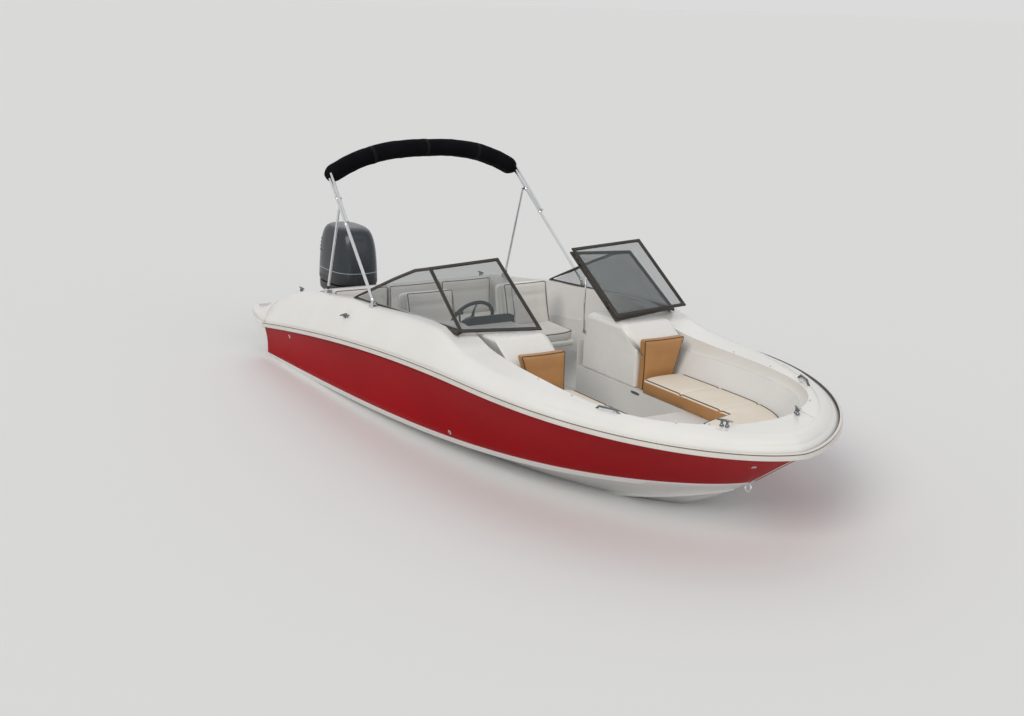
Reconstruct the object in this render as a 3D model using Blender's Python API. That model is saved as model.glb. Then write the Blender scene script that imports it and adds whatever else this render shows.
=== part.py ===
"""Bowrider speedboat with an outboard motor, seen from the static waterline.

X runs forward, Y to port, Z up.  The origin is on the centreline, amidships,
at the waterline of the boat at rest.  All lengths are in metres.
"""
import math

import bmesh
import bpy
from mathutils import Matrix, Vector

for old in list(bpy.data.objects):
    bpy.data.objects.remove(old, do_unlink=True)

# Hull: lengths along X from the origin, heights from the waterline
TRANSOM_X = -2.894
STEM_X = 3.005
HALF_BEAM = 1.22
BEAM_X = 0.831
KEEL_DRAFT = 0.37
KEEL_RISE_X = 0.2
STEM_TOP_Z = 0.674
STEM_HALF = 0.014
SHEER_AFT_Z = 0.319
SHEER_RISE = 0.355
CHINE_IN = 0.20
CHINE_AFT_Y = HALF_BEAM - CHINE_IN
CHINE_AFT_Z = -0.026
CHINE_FLAT = 0.07
CHINE_STEM_X = 2.50
PAINT_IN = 0.139
PAINT_AFT_Y = HALF_BEAM - PAINT_IN
PAINT_AFT_Z = 0.054
PAINT_STEM_X = 2.58
KEEL_STEM_X = 2.30
GAP = 0.0003
OVERRUN = 0.05

# Plan and profile shapes, as shares
TRANSOM_TAPER_SHARE = 0.086
BOW_LONG_POWER_SHARE = 2.62
BOW_WIDE_POWER_SHARE = 1.582
STEM_POWER_SHARE = 2.1
SHEER_SHARES = (2.890, -1.068, -0.822)
LINE_RISE_SHARES = (0.42, 0.35, 0.23)
LINE_PLAN_SHARES = (4.7, 0.655)
STRAKE_SHARES = (0.40, 0.455, 0.475)
FLARE_SHARES = (0.36, 0.70)
FLARE_HOLLOW = 0.012
STRAKE_TURN = 0.004
STATIONS = 28

COLOURS = {
    "hull_red": ((0.25, 0.01, 0.02), 0.12, 0.0),
    "gelcoat": ((0.85, 0.85, 0.83), 0.2, 0.0),
    "liner": ((0.72, 0.72, 0.72), 0.4, 0.0),
    "black": ((0.02, 0.02, 0.022), 0.45, 0.0),
    "canvas": ((0.012, 0.012, 0.014), 0.9, 0.0),
    "steel": ((0.75, 0.76, 0.78), 0.16, 1.0),
    "bronze": ((0.05, 0.045, 0.04), 0.35, 0.8),
    "glass": ((0.35, 0.4, 0.42), 0.05, 0.0),
    "vinyl": ((0.78, 0.76, 0.72), 0.55, 0.0),
    "caramel": ((0.45, 0.24, 0.09), 0.5, 0.0),
    "motor": ((0.09, 0.10, 0.115), 0.3, 0.6),
    "motor_black": ((0.02, 0.02, 0.022), 0.5, 0.2),
    "pad": ((0.12, 0.13, 0.14), 0.8, 0.0),
}


def material(name):
    """One Principled finish, made once."""
    found = bpy.data.materials.get(name)
    if found:
        return found
    colour, rough, metal = COLOURS[name]
    made = bpy.data.materials.new(name)
    made.use_nodes = True
    shader = made.node_tree.nodes["Principled BSDF"]
    shader.inputs["Base Color"].default_value = (*colour, 1.0)
    shader.inputs["Roughness"].default_value = rough
    shader.inputs["Metallic"].default_value = metal
    return made


def add_object(name, mesh, finish, smooth=math.radians(35.0)):
    """Link a mesh as one sub-part with its finish."""
    piece = bpy.data.objects.new(name, mesh)
    bpy.context.scene.collection.objects.link(piece)
    mesh.materials.clear()
    mesh.materials.append(material(finish))
    mesh.shade_smooth()
    mesh.set_sharp_from_angle(angle=smooth)
    return piece


def mesh_from(name, bm):
    """Finish a bmesh with outward faces."""
    bmesh.ops.recalc_face_normals(bm, faces=bm.faces[:])
    if bm.calc_volume(signed=True) < 0:
        bmesh.ops.reverse_faces(bm, faces=bm.faces[:])
    mesh = bpy.data.meshes.new(name)
    bm.to_mesh(mesh)
    bm.free()
    return mesh


def is_flat(face):
    """True where a face's corners lie in one plane."""
    first = face.verts[0].co
    return all(abs((v.co - first).dot(face.normal)) < GAP * 0.01 for v in face.verts)


def loft(name, rings):
    """Closed body through rings of equal point count, capped at both ends."""
    bm = bmesh.new()
    rows = [[bm.verts.new(p) for p in ring] for ring in rings]
    count = len(rows[0])
    for low, high in zip(rows, rows[1:]):
        for i in range(count):
            j = (i + 1) % count
            bm.faces.new((low[i], low[j], high[j], high[i]))
    bm.normal_update()
    bm.faces.new(rows[0][::-1])
    bm.faces.new(rows[-1])
    bent = [f for f in bm.faces if len(f.verts) > 4 or not is_flat(f)]
    bmesh.ops.triangulate(bm, faces=bent)
    return mesh_from(name, bm)


def prism(name, outline, low_z, high_z):
    """Upright body over a plan outline."""
    return loft(name, [[(x, y, z) for x, y in outline] for z in (low_z, high_z)])


def slab(name, low, high, cut=0.0):
    """Rectangular body between two corners, its edges broken by cut."""
    bm = bmesh.new()
    bmesh.ops.create_cube(bm, size=1.0)
    for v in bm.verts:
        v.co = Vector(low[i] if v.co[i] < 0 else high[i] for i in range(3))
    if cut:
        bmesh.ops.bevel(bm, geom=bm.edges[:], offset=cut, segments=2, profile=0.6,
                        affect="EDGES")
    return mesh_from(name, bm)


def frame_at(tangent, up=Vector((0, 0, 1))):
    """Two unit vectors square to a direction."""
    t = Vector(tangent).normalized()
    side = up.cross(t)
    if side.length < 0.1:
        side = Vector((0, 1, 0)).cross(t)
    side.normalize()
    return side, t.cross(side)


def sweep(name, path, radii, sides=10, flat=1.0, up=Vector((0, 0, 1))):
    """Round or oval bar along a path, with one radius or one for each point."""
    path = [Vector(p) for p in path]
    if not isinstance(radii, (list, tuple)):
        radii = [radii] * len(path)
    rings = []
    for i, point in enumerate(path):
        before, after = path[max(i - 1, 0)], path[min(i + 1, len(path) - 1)]
        side, over = frame_at(after - before, up)
        rings.append([point + radii[i] * (math.cos(a) * side + flat * math.sin(a) * over)
                      for a in (math.tau * k / sides for k in range(sides))])
    return loft(name, rings)


def turned(name, base, axis, profile, sides=20):
    """Turned body: profile lists (distance along the axis, radius)."""
    side, over = frame_at(axis)
    t = Vector(axis).normalized()
    rings = [[Vector(base) + t * d + r * (math.cos(a) * side + math.sin(a) * over)
              for a in (math.tau * k / sides for k in range(sides))]
             for d, r in profile]
    return loft(name, rings)


def combine(piece, others, operation="UNION"):
    """Boolean of helper meshes with a piece, applied at once."""
    for k, mesh in enumerate(others):
        tool = bpy.data.objects.new("tool", mesh)
        bpy.context.scene.collection.objects.link(tool)
        mod = piece.modifiers.new("cut", "BOOLEAN")
        mod.operation = operation
        mod.solver = "EXACT"
        mod.object = tool
        bpy.context.view_layer.update()
        graph = bpy.context.evaluated_depsgraph_get()
        done = bpy.data.meshes.new_from_object(piece.evaluated_get(graph))
        piece.modifiers.clear()
        piece.data = done
        bpy.data.objects.remove(tool, do_unlink=True)
    piece.data.materials.clear()
    finish = piece["finish"]
    piece.data.materials.append(material(finish))
    piece.data.shade_smooth()
    piece.data.set_sharp_from_angle(angle=math.radians(35.0))
    return piece


def part(name, mesh, finish, join=(), cut=()):
    """A sub-part from one mesh, with others joined to it and cut from it."""
    piece = add_object(name, mesh, finish)
    piece["finish"] = finish
    if join:
        combine(piece, join)
    if cut:
        combine(piece, cut, "DIFFERENCE")
    return piece


def mirrored(points, side):
    return [(p[0], p[1] * side, *p[2:]) for p in points]


# Hull lines


def sheer_z(x):
    u = (x - TRANSOM_X) / (STEM_X - TRANSOM_X)
    return SHEER_AFT_Z + SHEER_RISE * sum(c * u ** (k + 1) for k, c in enumerate(SHEER_SHARES))


def sheer_y(x):
    if x < BEAM_X:
        return HALF_BEAM * (1 - TRANSOM_TAPER_SHARE * ((BEAM_X - x) / (BEAM_X - TRANSOM_X)) ** 2)
    along = min((x - BEAM_X) / (STEM_X - BEAM_X), 1.0)
    return HALF_BEAM * (1 - along ** BOW_LONG_POWER_SHARE) ** (1 / BOW_WIDE_POWER_SHARE)


def stem_z(x):
    if x <= KEEL_RISE_X:
        return -KEEL_DRAFT
    along = (x - KEEL_RISE_X) / (STEM_X - KEEL_RISE_X)
    return -KEEL_DRAFT + (STEM_TOP_Z + KEEL_DRAFT) * along ** STEM_POWER_SHARE


def rising_line(s, end_x, aft_y, aft_z):
    """A chine or paint line at share s of its run to the stem."""
    x = TRANSOM_X + s * (end_x - TRANSOM_X)
    power, root = LINE_PLAN_SHARES
    y = STEM_HALF + (aft_y - STEM_HALF) * (1 - s ** power) ** root
    rise = sum(c * s ** (k + 1) for k, c in enumerate(LINE_RISE_SHARES))
    return Vector((x, y, aft_z + (stem_z(end_x) - aft_z) * rise))


def half_section(s):
    """Points of the port half from keel to sheer at share s of the length."""
    keel_x = TRANSOM_X + s * (KEEL_STEM_X - TRANSOM_X)
    keel = Vector((keel_x, STEM_HALF, stem_z(keel_x)))
    chine = rising_line(s, CHINE_STEM_X, CHINE_AFT_Y, CHINE_AFT_Z)
    inner = chine.copy()
    inner.y = STEM_HALF + (chine.y - STEM_HALF) * (1 - CHINE_FLAT / CHINE_AFT_Y)
    paint = rising_line(s, PAINT_STEM_X, PAINT_AFT_Y, PAINT_AFT_Z)
    x = TRANSOM_X + s * (STEM_X - TRANSOM_X)
    sheer = Vector((x, max(sheer_y(x), STEM_HALF), sheer_z(x)))
    start, stop, back = STRAKE_SHARES
    strakes = [keel.lerp(inner, start), keel.lerp(inner, stop), keel.lerp(inner, back)]
    strakes[1].z = strakes[0].z - STRAKE_TURN * (1 - s)
    sides = []
    for share in FLARE_SHARES:
        point = paint.lerp(sheer, share)
        point.y = max(point.y - FLARE_HOLLOW * math.sin(math.pi * share), STEM_HALF)
        sides.append(point)
    return [keel, *strakes, inner, chine, paint, *sides, sheer]


def station_shares():
    """Shares of the length, closer together at the stern and the bow."""
    return [0.5 - 0.5 * math.cos(math.pi * k / STATIONS) for k in range(STATIONS + 1)]


def hull_rings():
    rings = []
    for s in station_shares():
        port = half_section(s)
        stbd = [Vector((p.x, -p.y, p.z)) for p in port]
        rings.append(port + stbd[::-1])
    return rings


# Inner spaces shared by the hull, the liner and the deck
SOLE_Z = 0.08
SOLE_THICK = 0.025
LINER_WALL = 0.012
SPACE_TOP_Z = 1.3
QUARTER_LONG = 0.744
COCKPIT_AFT_X = TRANSOM_X + QUARTER_LONG
COCKPIT_FORE_X = 0.12
COAMING_WIDE = 0.30
COCKPIT_HALF = HALF_BEAM - COAMING_WIDE
COCKPIT_KNEE_IN = 0.02
COCKPIT_KNEE_HALF = COCKPIT_HALF - COCKPIT_KNEE_IN
COCKPIT_KNEE_Z = 0.35
COCKPIT_FLOOR_IN = 0.14
COCKPIT_FLOOR_HALF = COCKPIT_HALF - COCKPIT_FLOOR_IN
COCKPIT_CORNER = 0.09
AISLE_HALF = 0.33
AISLE_FORE_X = 1.5
BOW_SHELF_Z = 0.50
BOW_SLOPE_Z = 0.76
BOW_RIM_WIDE = 0.388
BOW_HALF = HALF_BEAM - BOW_RIM_WIDE
BOW_AFT_IN = 0.032
BOW_AFT_HALF = BOW_HALF - BOW_AFT_IN
BOW_WIDEST_X = 1.5
BOW_WELL_LENGTH = 1.14
BOW_POWER_SHARE = 3.2
BOW_SHELF_SHARES = (0.83, 0.80)
BOW_STEPS = 10
WELL_FORE = 0.594
WELL_AFT = 0.094
WELL_FORE_X = TRANSOM_X + WELL_FORE
WELL_AFT_X = TRANSOM_X + WELL_AFT
WELL_HALF = 0.46
WELL_FLOOR_Z = 0.20
NOTCH_Z = 0.27


def bow_outline(x_share=1.0, y_share=1.0, inset=0.0):
    """Plan outline of the bow cockpit from its aft end round the bow."""
    side = [(COCKPIT_FORE_X - LINER_WALL + inset, BOW_AFT_HALF * y_share - inset)]
    length = BOW_WELL_LENGTH * x_share - inset
    for k in range(BOW_STEPS):
        along = math.sin(0.5 * math.pi * k / BOW_STEPS)
        wide = (BOW_HALF * y_share - inset) * (1 - along ** BOW_POWER_SHARE) ** 0.5
        side.append((BOW_WIDEST_X + along * length, wide))
    return side + [(x, -y) for x, y in side[::-1]]


def cockpit_outline(half, inset=0.0):
    """Plan outline of the aft cockpit with cut corners."""
    aft, fore = COCKPIT_AFT_X + inset, COCKPIT_FORE_X - inset
    side = half - inset
    return [(aft, side - COCKPIT_CORNER), (aft + COCKPIT_CORNER, side), (fore, side),
            (fore, -side), (aft + COCKPIT_CORNER, -side), (aft, COCKPIT_CORNER - side)]


def stacked(name, layers):
    """Loft between plan outlines at rising heights."""
    return loft(name, [[(x, y, z) for x, y in outline] for z, outline in layers])


def inner_spaces(inset=0.0, lift=0.0):
    """The aft cockpit, the aisle and the bow cockpit, as three bodies."""
    floor = SOLE_Z - SOLE_THICK + lift
    aft = stacked("aft", [
        (floor, cockpit_outline(COCKPIT_FLOOR_HALF, inset)),
        (COCKPIT_KNEE_Z, cockpit_outline(COCKPIT_KNEE_HALF, inset)),
        (COCKPIT_KNEE_Z + COCKPIT_CORNER, cockpit_outline(COCKPIT_HALF, inset)),
        (SPACE_TOP_Z, cockpit_outline(COCKPIT_HALF, inset))])
    half = AISLE_HALF - inset
    aisle = slab("aisle", (COCKPIT_FORE_X - OVERRUN, -half, floor),
                 (AISLE_FORE_X - inset, half, SPACE_TOP_Z + OVERRUN))
    long_share, wide_share = BOW_SHELF_SHARES
    bow = stacked("bow", [
        (BOW_SHELF_Z - SOLE_THICK + lift, bow_outline(long_share, wide_share, inset)),
        (BOW_SLOPE_Z, bow_outline(inset=inset)),
        (SPACE_TOP_Z + GAP, bow_outline(inset=inset))])
    return [aft, aisle, bow]


def well_space(inset=0.0, lift=0.0):
    return slab("well", (WELL_AFT_X + inset, inset - WELL_HALF, WELL_FLOOR_Z + lift),
                (WELL_FORE_X - inset, WELL_HALF - inset, SPACE_TOP_Z))


def notch_space():
    """The cut in the transom that lets the motor in."""
    return slab("notch", (TRANSOM_X - OVERRUN, -WELL_HALF, NOTCH_Z),
                (WELL_AFT_X + OVERRUN, WELL_HALF, SPACE_TOP_Z + OVERRUN))


# Hull moulding
hull = part("hull", loft("hull", hull_rings()), "hull_red",
            cut=inner_spaces() + [well_space(), notch_space()])

# Cockpit liner: the thin inner moulding with the sole
lowered = [[p - Vector((0, 0, GAP)) for p in ring] for ring in hull_rings()]
liner = part("cockpit_liner", inner_spaces(GAP, GAP)[0], "liner",
             join=inner_spaces(GAP, GAP)[1:])
combine(liner, [loft("below", lowered)], "INTERSECT")
combine(liner, inner_spaces(LINER_WALL, SOLE_THICK), "DIFFERENCE")

# Deck moulding: the crown line runs from the transom to the bow
CROWN_Z = 0.975
DECK_SHARES = [
    # along the length, crown height as a share of the highest
    (0.000, 0.555), (0.030, 0.620), (0.072, 0.708), (0.110, 0.765), (0.160, 0.805),
    (0.220, 0.850), (0.288, 0.903), (0.350, 0.925), (0.427, 0.965), (0.510, 0.998),
    (0.557, 1.000), (0.590, 0.950), (0.622, 0.902), (0.680, 0.872), (0.745, 0.860),
    (0.810, 0.850), (0.850, 0.842), (0.885, 0.835), (0.915, 0.828), (0.940, 0.822),
    (0.960, 0.817), (0.976, 0.812), (0.988, 0.808), (0.996, 0.805), (1.000, 0.804)]
# inset from the sheer at the side and at the bow, and share of the way up
EDGE_INSET = 0.006
CROWN_INSET = 0.20
RIM_INSET = 0.15
DECK_LINES = [(0.0, 0.0, 0.0), (EDGE_INSET, EDGE_INSET, 0.10), (0.045, 0.022, 0.42),
              (0.115, 0.060, 0.80), (0.165, 0.105, 0.96), (CROWN_INSET, RIM_INSET, 1.0)]


def crown_height(x):
    """Height of the deck's crown at a place along the boat."""
    along = (x - TRANSOM_X) / (STEM_X - TRANSOM_X)
    for (a, za), (b, zb) in zip(DECK_SHARES, DECK_SHARES[1:]):
        if a <= along <= b:
            return CROWN_Z * (za + (zb - za) * (along - a) / (b - a))
    return CROWN_Z * DECK_SHARES[0 if along < 0 else -1][1]


def deck_rings():
    rings = []
    for along in station_shares():
        x = TRANSOM_X + along * (STEM_X - TRANSOM_X)
        high = crown_height(x) / CROWN_Z
        half = max(sheer_y(x), STEM_HALF)
        low = sheer_z(x) + GAP
        port = []
        for side_in, bow_in, up in DECK_LINES:
            share = 1.0 - side_in / HALF_BEAM
            ahead = TRANSOM_X + along * (STEM_X - bow_in - TRANSOM_X)
            port.append((ahead, half * share, low + up * (high * CROWN_Z - low)))
        rings.append(port + [(x, -y, z) for x, y, z in port[::-1]])
    return rings


def deck_spaces():
    """The openings of the deck, over those of the hull."""
    bodies = inner_spaces()
    bodies.append(slab("well", (TRANSOM_X - OVERRUN, -WELL_HALF, -OVERRUN),
                       (WELL_FORE_X, WELL_HALF, SPACE_TOP_Z + OVERRUN)))
    return bodies


deck = part("deck", loft("deck", deck_rings()), "gelcoat", cut=deck_spaces())

# Splash well tray in front of the transom
TRAY_WALL = 0.015
tray = part("splash_well", well_space(GAP, GAP), "gelcoat",
            cut=[well_space(TRAY_WALL, TRAY_WALL)])
combine(tray, [slab("rim", (WELL_AFT_X - OVERRUN, -WELL_HALF, NOTCH_Z),
                    (WELL_AFT_X + TRAY_WALL + GAP, WELL_HALF, SPACE_TOP_Z + OVERRUN))],
        "DIFFERENCE")
TRAY_TOP_Z = 0.66
combine(tray, [slab("top", (WELL_AFT_X - OVERRUN, -HALF_BEAM, TRAY_TOP_Z),
                    (WELL_FORE_X + OVERRUN, HALF_BEAM, SPACE_TOP_Z + OVERRUN))],
        "DIFFERENCE")

# Rub rail: a D-shaped strip outside the joint of hull and deck
RAIL_OUT = 0.022
RAIL_HIGH = 0.05
RAIL_BACK = 0.0028


def rail_ring(x):
    """Six points round the rail's section at one place along the sheer."""
    step = 0.001 * (STEM_X - TRANSOM_X)
    point = Vector((x, max(sheer_y(x), STEM_HALF), sheer_z(x)))
    back = Vector((x - step, sheer_y(x - step), 0)) - Vector((x, sheer_y(x), 0))
    out = Vector((back.y, -back.x, 0)).normalized()
    return point, -out if out.y < 0 else out


def rub_rail():
    rings = []
    for s in station_shares()[:-1]:
        x = TRANSOM_X + s * (STEM_X - TRANSOM_X)
        point, out = rail_ring(x)
        rings.append((point, out))
    port = rings + [(Vector((STEM_X, 0, sheer_z(STEM_X))), Vector((1, 0, 0)))]
    stbd = [(Vector((p.x, -p.y, p.z)), Vector((o.x, -o.y, 0))) for p, o in rings[::-1]]
    loops = []
    half = 0.5 * RAIL_HIGH
    for point, out in port + stbd:
        base = point + out * RAIL_BACK
        loops.append([base - Vector((0, 0, half)),
                      base + out * RAIL_OUT * 0.8 - Vector((0, 0, half * 0.8)),
                      base + out * RAIL_OUT,
                      base + out * RAIL_OUT * 0.8 + Vector((0, 0, half * 0.8)),
                      base + Vector((0, 0, half))])
    return loft("rub_rail", loops)


part("rub_rail", rub_rail(), "black")


# Stern platforms: a hull extension below and a moulded deck above, each side
PLATFORM_LONG = 0.606
PLATFORM_AFT_X = TRANSOM_X - PLATFORM_LONG
PLATFORM_TIP_IN = 0.22
PLATFORM_TIP_HALF = HALF_BEAM - PLATFORM_TIP_IN
PLATFORM_TOP_Z = 0.385
PLATFORM_LIP = 0.085
EXTENSION_LOW_Z = 0.0
EXTENSION_TIP_Z = 0.27
EXTENSION_TUCK = 0.09
EXTENSION_ROOT = 0.02
# along the platform from the transom, half width, height of the quarter crown
PLATFORM_SHARES = [(0.0, 0.0, 1.0), (0.2, 0.06, 0.66), (0.42, 0.20, 0.28), (0.62, 0.42, 0.05),
                   (0.82, 0.74, 0.0), (0.94, 1.0, 0.0), (1.0, 1.7, 0.0)]


def platform_stations():
    """x, outer half width and crown share at each station, going aft."""
    start = TRANSOM_X - GAP
    for along, taper, crown in PLATFORM_SHARES:
        x = start + along * (PLATFORM_AFT_X - start)
        half = sheer_y(TRANSOM_X) + taper * (PLATFORM_TIP_HALF - sheer_y(TRANSOM_X))
        yield x, half, crown, along


def platform_mesh(side):
    rings = []
    quarter_z = DECK_SHARES[0][1] * CROWN_Z
    quarter_in = CROWN_INSET * sheer_y(TRANSOM_X) / HALF_BEAM
    for x, half, crown, along in platform_stations():
        low = PLATFORM_TOP_Z - PLATFORM_LIP
        top = PLATFORM_TOP_Z + crown * (quarter_z - PLATFORM_TOP_Z)
        inner = half - quarter_in
        ring = [(x, WELL_HALF, low), (x, half - EDGE_INSET, low),
                (x, half, low + EDGE_INSET), (x, half, PLATFORM_TOP_Z - EDGE_INSET),
                (x, half - 0.35 * quarter_in, PLATFORM_TOP_Z + 0.72 * (top - PLATFORM_TOP_Z)),
                (x, inner, top), (x, inner - 2 * EDGE_INSET, top - EDGE_INSET),
                (x, inner - quarter_in * 0.6, PLATFORM_TOP_Z + 0.5 * EDGE_INSET),
                (x, WELL_HALF, PLATFORM_TOP_Z)]
        rings.append(mirrored(ring, side))
    return loft("swim_platform", rings)


def extension_mesh(side):
    rings = []
    for x, half, crown, along in platform_stations():
        x += EXTENSION_ROOT * (1 - along)
        high = PLATFORM_TOP_Z - PLATFORM_LIP - GAP
        low = EXTENSION_LOW_Z + min(along, 0.97) * (EXTENSION_TIP_Z - EXTENSION_LOW_Z)
        edge = half - EDGE_INSET
        bilge = edge - EXTENSION_TUCK * (1 - along)
        ring = [(x, WELL_HALF, high), (x, WELL_HALF, low),
                (x, bilge - EXTENSION_TUCK, low), (x, bilge, low + 0.15 * (high - low)),
                (x, edge, high)]
        rings.append(mirrored(ring, side))
    return loft("stern_extension", rings)


# The consoles either side of the aisle, under the windshield
CONSOLE_AFT_X = 0.16
CONSOLE_TOP_Z = 0.95
CONSOLE_FRONT_X = 0.86
CONSOLE_SLOPE_X = 0.66
CONSOLE_FRONT_Z = 0.80
CONSOLE_ROUND = 0.05
CONSOLE_BASE_Z = 0.50
CONSOLE_DROP = 0.02


# Dash pod on the starboard console
DASH_AFT_X = -0.02
DASH_FRONT_X = 0.30
DASH_LOW_Z = 0.74
DASH_HALF_WIDE = 0.21
HELM_IN = 0.28
HELM_Y = HELM_IN - BOW_AFT_HALF


def dash_mesh():
    rings = []
    for y, drop in ((-DASH_HALF_WIDE, 0.02), (-0.8 * DASH_HALF_WIDE, 0.0),
                    (0.8 * DASH_HALF_WIDE, 0.0), (DASH_HALF_WIDE, 0.02)):
        rings.append([(CONSOLE_AFT_X - GAP, HELM_Y + y, DASH_LOW_Z),
                      (DASH_AFT_X + drop, HELM_Y + y, DASH_LOW_Z + 0.05),
                      (DASH_AFT_X + 2 * drop, HELM_Y + y, CONSOLE_TOP_Z - 0.06),
                      (CONSOLE_AFT_X - 0.07, HELM_Y + y, CONSOLE_TOP_Z + 0.03 - drop),
                      (CONSOLE_AFT_X - GAP, HELM_Y + y, CONSOLE_TOP_Z + 0.045 - drop)])
    return loft("dash", rings)


# Cushions: plain rounded pads over a plan outline
PAD_EDGE = 0.02


BOW_PAD_Z = 0.605
BOW_PAD_AFT_X = 0.98
BOW_PAD_IN = 0.31
BOW_PAD_FORE_X = 2.36


def bow_shelf_half(x, z):
    """Half width inside the liner at a place on the sloping bow coaming."""
    up = min((z - BOW_SHELF_Z) / (BOW_SLOPE_Z - BOW_SHELF_Z), 1.0)
    long_share, wide_share = (share + (1 - share) * up for share in BOW_SHELF_SHARES)
    if x <= BOW_WIDEST_X:
        return (BOW_AFT_HALF + (BOW_HALF - BOW_AFT_HALF) * max(x - COCKPIT_FORE_X, 0)
                / (BOW_WIDEST_X - COCKPIT_FORE_X)) * wide_share - LINER_WALL
    along = min((x - BOW_WIDEST_X) / (BOW_WELL_LENGTH * long_share - LINER_WALL), 1.0)
    return (BOW_HALF * wide_share - LINER_WALL) * (1 - along ** BOW_POWER_SHARE) ** 0.5


def console_mesh(side):
    base = CONSOLE_BASE_Z + GAP
    edge = CONSOLE_ROUND
    profile = [(CONSOLE_AFT_X, base, 0), (CONSOLE_AFT_X, CONSOLE_TOP_Z - edge, 1),
               (CONSOLE_AFT_X + edge, CONSOLE_TOP_Z, 1), (CONSOLE_SLOPE_X, CONSOLE_TOP_Z, 1),
               (CONSOLE_FRONT_X - edge, CONSOLE_FRONT_Z + edge, 1),
               (CONSOLE_FRONT_X, CONSOLE_FRONT_Z, 0), (CONSOLE_FRONT_X, base, 0)]
    rings = []
    for across in (0, edge, 1):
        ring = []
        for x, z, up in profile:
            inner = AISLE_HALF + GAP
            outer = bow_shelf_half(CONSOLE_AFT_X, z) - 2 * GAP
            y = outer if across == 1 else inner + across
            drop = CONSOLE_DROP * up if across == 0 else 0.0
            ring.append((x, y * side, z - drop))
        rings.append(ring)
    return loft("console", rings)


def bow_pad_layer(side, z, inset):
    """Cushion outline at one height, from the console to the bow."""
    rows = []
    fore = BOW_PAD_FORE_X - inset
    for share in (0.0, 0.4, 0.65, 0.82, 0.93, 1.0):
        x = BOW_PAD_AFT_X + inset + share * (fore - BOW_PAD_AFT_X - inset)
        rows.append((x, bow_shelf_half(x + BOW_PAD_PLAY, z) - BOW_PAD_PLAY - inset))
    turn = BOW_PAD_TURN_X + inset
    rows += [(fore, BOW_PAD_NOSE_IN + inset), (turn, BOW_PAD_NOSE_IN + inset),
             (turn - BOW_PAD_TURN, BOW_PAD_IN + inset), (BOW_PAD_AFT_X + inset, BOW_PAD_IN + inset)]
    return [(x, y * side) for x, y in rows]


def bow_pad(side):
    edge = PAD_EDGE
    return stacked("bow_cushion", [(z, bow_pad_layer(side, z, inset)) for z, inset in (
        (BOW_SHELF_Z + GAP, 0.5 * edge), (BOW_SHELF_Z + edge, 0.0),
        (BOW_PAD_Z - edge, 0.0), (BOW_PAD_Z, 0.8 * edge))])


BOW_PAD_NOSE_IN = 0.003
BOW_PAD_TURN_X = 2.06
BOW_PAD_TURN = 0.10
BOW_PAD_PLAY = 0.012

BACK_THICK = 0.09
BACK_LEAN = 0.05
BACK_TOP_Z = 0.885
BACK_TUCK = 0.12


def leaning_pad(name, x, low, high, y0, y1, thick, lean, tuck=(0.0, 0.0)):
    """A backrest pad that leans by lean over its height, its sides tucked in below."""
    edge = PAD_EDGE
    rings = []
    for z, share in ((low, 0.0), (low + edge, 0.1), (high - edge, 0.9), (high, 1.0)):
        cut = edge * 0.6 if z in (low, high) else 0.0
        back = x + lean * share
        left, right = y0 + cut + tuck[0] * (1 - share), y1 - cut - tuck[1] * (1 - share)
        rings.append([(back + cut, left, z), (back + thick - cut, left, z),
                      (back + thick - cut, right, z), (back + cut, right, z)])
    return loft(name, rings)


# Seats: pedestal, swivel and bucket
SEAT_X = -0.72
SEAT_Y = 0.5 * COCKPIT_HALF
SEAT_Z = 0.47
SEAT_HALF = 0.25
SEAT_LONG = 0.50
SEAT_PAD = 0.12
SEAT_BACK_HIGH = 0.50
PEDESTAL_R = 0.05
PEDESTAL_FOOT_R = 0.16


def seat_mesh(y):
    """Bucket shell: base, two sides and a curved back in one closed form."""
    half = SEAT_HALF
    rings = []
    for share, wide in ((-1.0, 0.78), (-0.86, 1.0), (0.86, 1.0), (1.0, 0.78)):
        across = y + half * share
        edge = 0.03 * (1 - wide)
        aft, fore = SEAT_X - 0.5 * SEAT_LONG, SEAT_X + 0.5 * SEAT_LONG
        top = SEAT_Z + SEAT_BACK_HIGH * (0.94 if wide < 1 else 1.0)
        rings.append([(aft + 0.06, across, SEAT_Z), (fore - 0.05 - edge, across, SEAT_Z),
                      (fore - edge, across, SEAT_Z + 0.05), (fore - 0.02 - edge, across, SEAT_Z + SEAT_PAD),
                      (aft + 0.17, across, SEAT_Z + SEAT_PAD * 0.85),
                      (aft + 0.10 - edge, across, SEAT_Z + 0.30), (aft + 0.02, across, top),
                      (aft - 0.06, across, top - 0.02), (aft - 0.04 + edge, across, SEAT_Z + 0.22)])
    return loft("seat", rings)


def pedestal_mesh(y):
    return turned("pedestal", (SEAT_X, y, SOLE_Z + GAP), (0, 0, 1),
                  [(0.0, PEDESTAL_FOOT_R), (0.012, PEDESTAL_FOOT_R), (0.03, PEDESTAL_R * 1.2),
                   (0.06, PEDESTAL_R), (SEAT_Z - SOLE_Z - 0.03, PEDESTAL_R),
                   (SEAT_Z - SOLE_Z - 0.02, 0.12), (SEAT_Z - SOLE_Z - 2 * GAP, 0.12)], 16)


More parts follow.
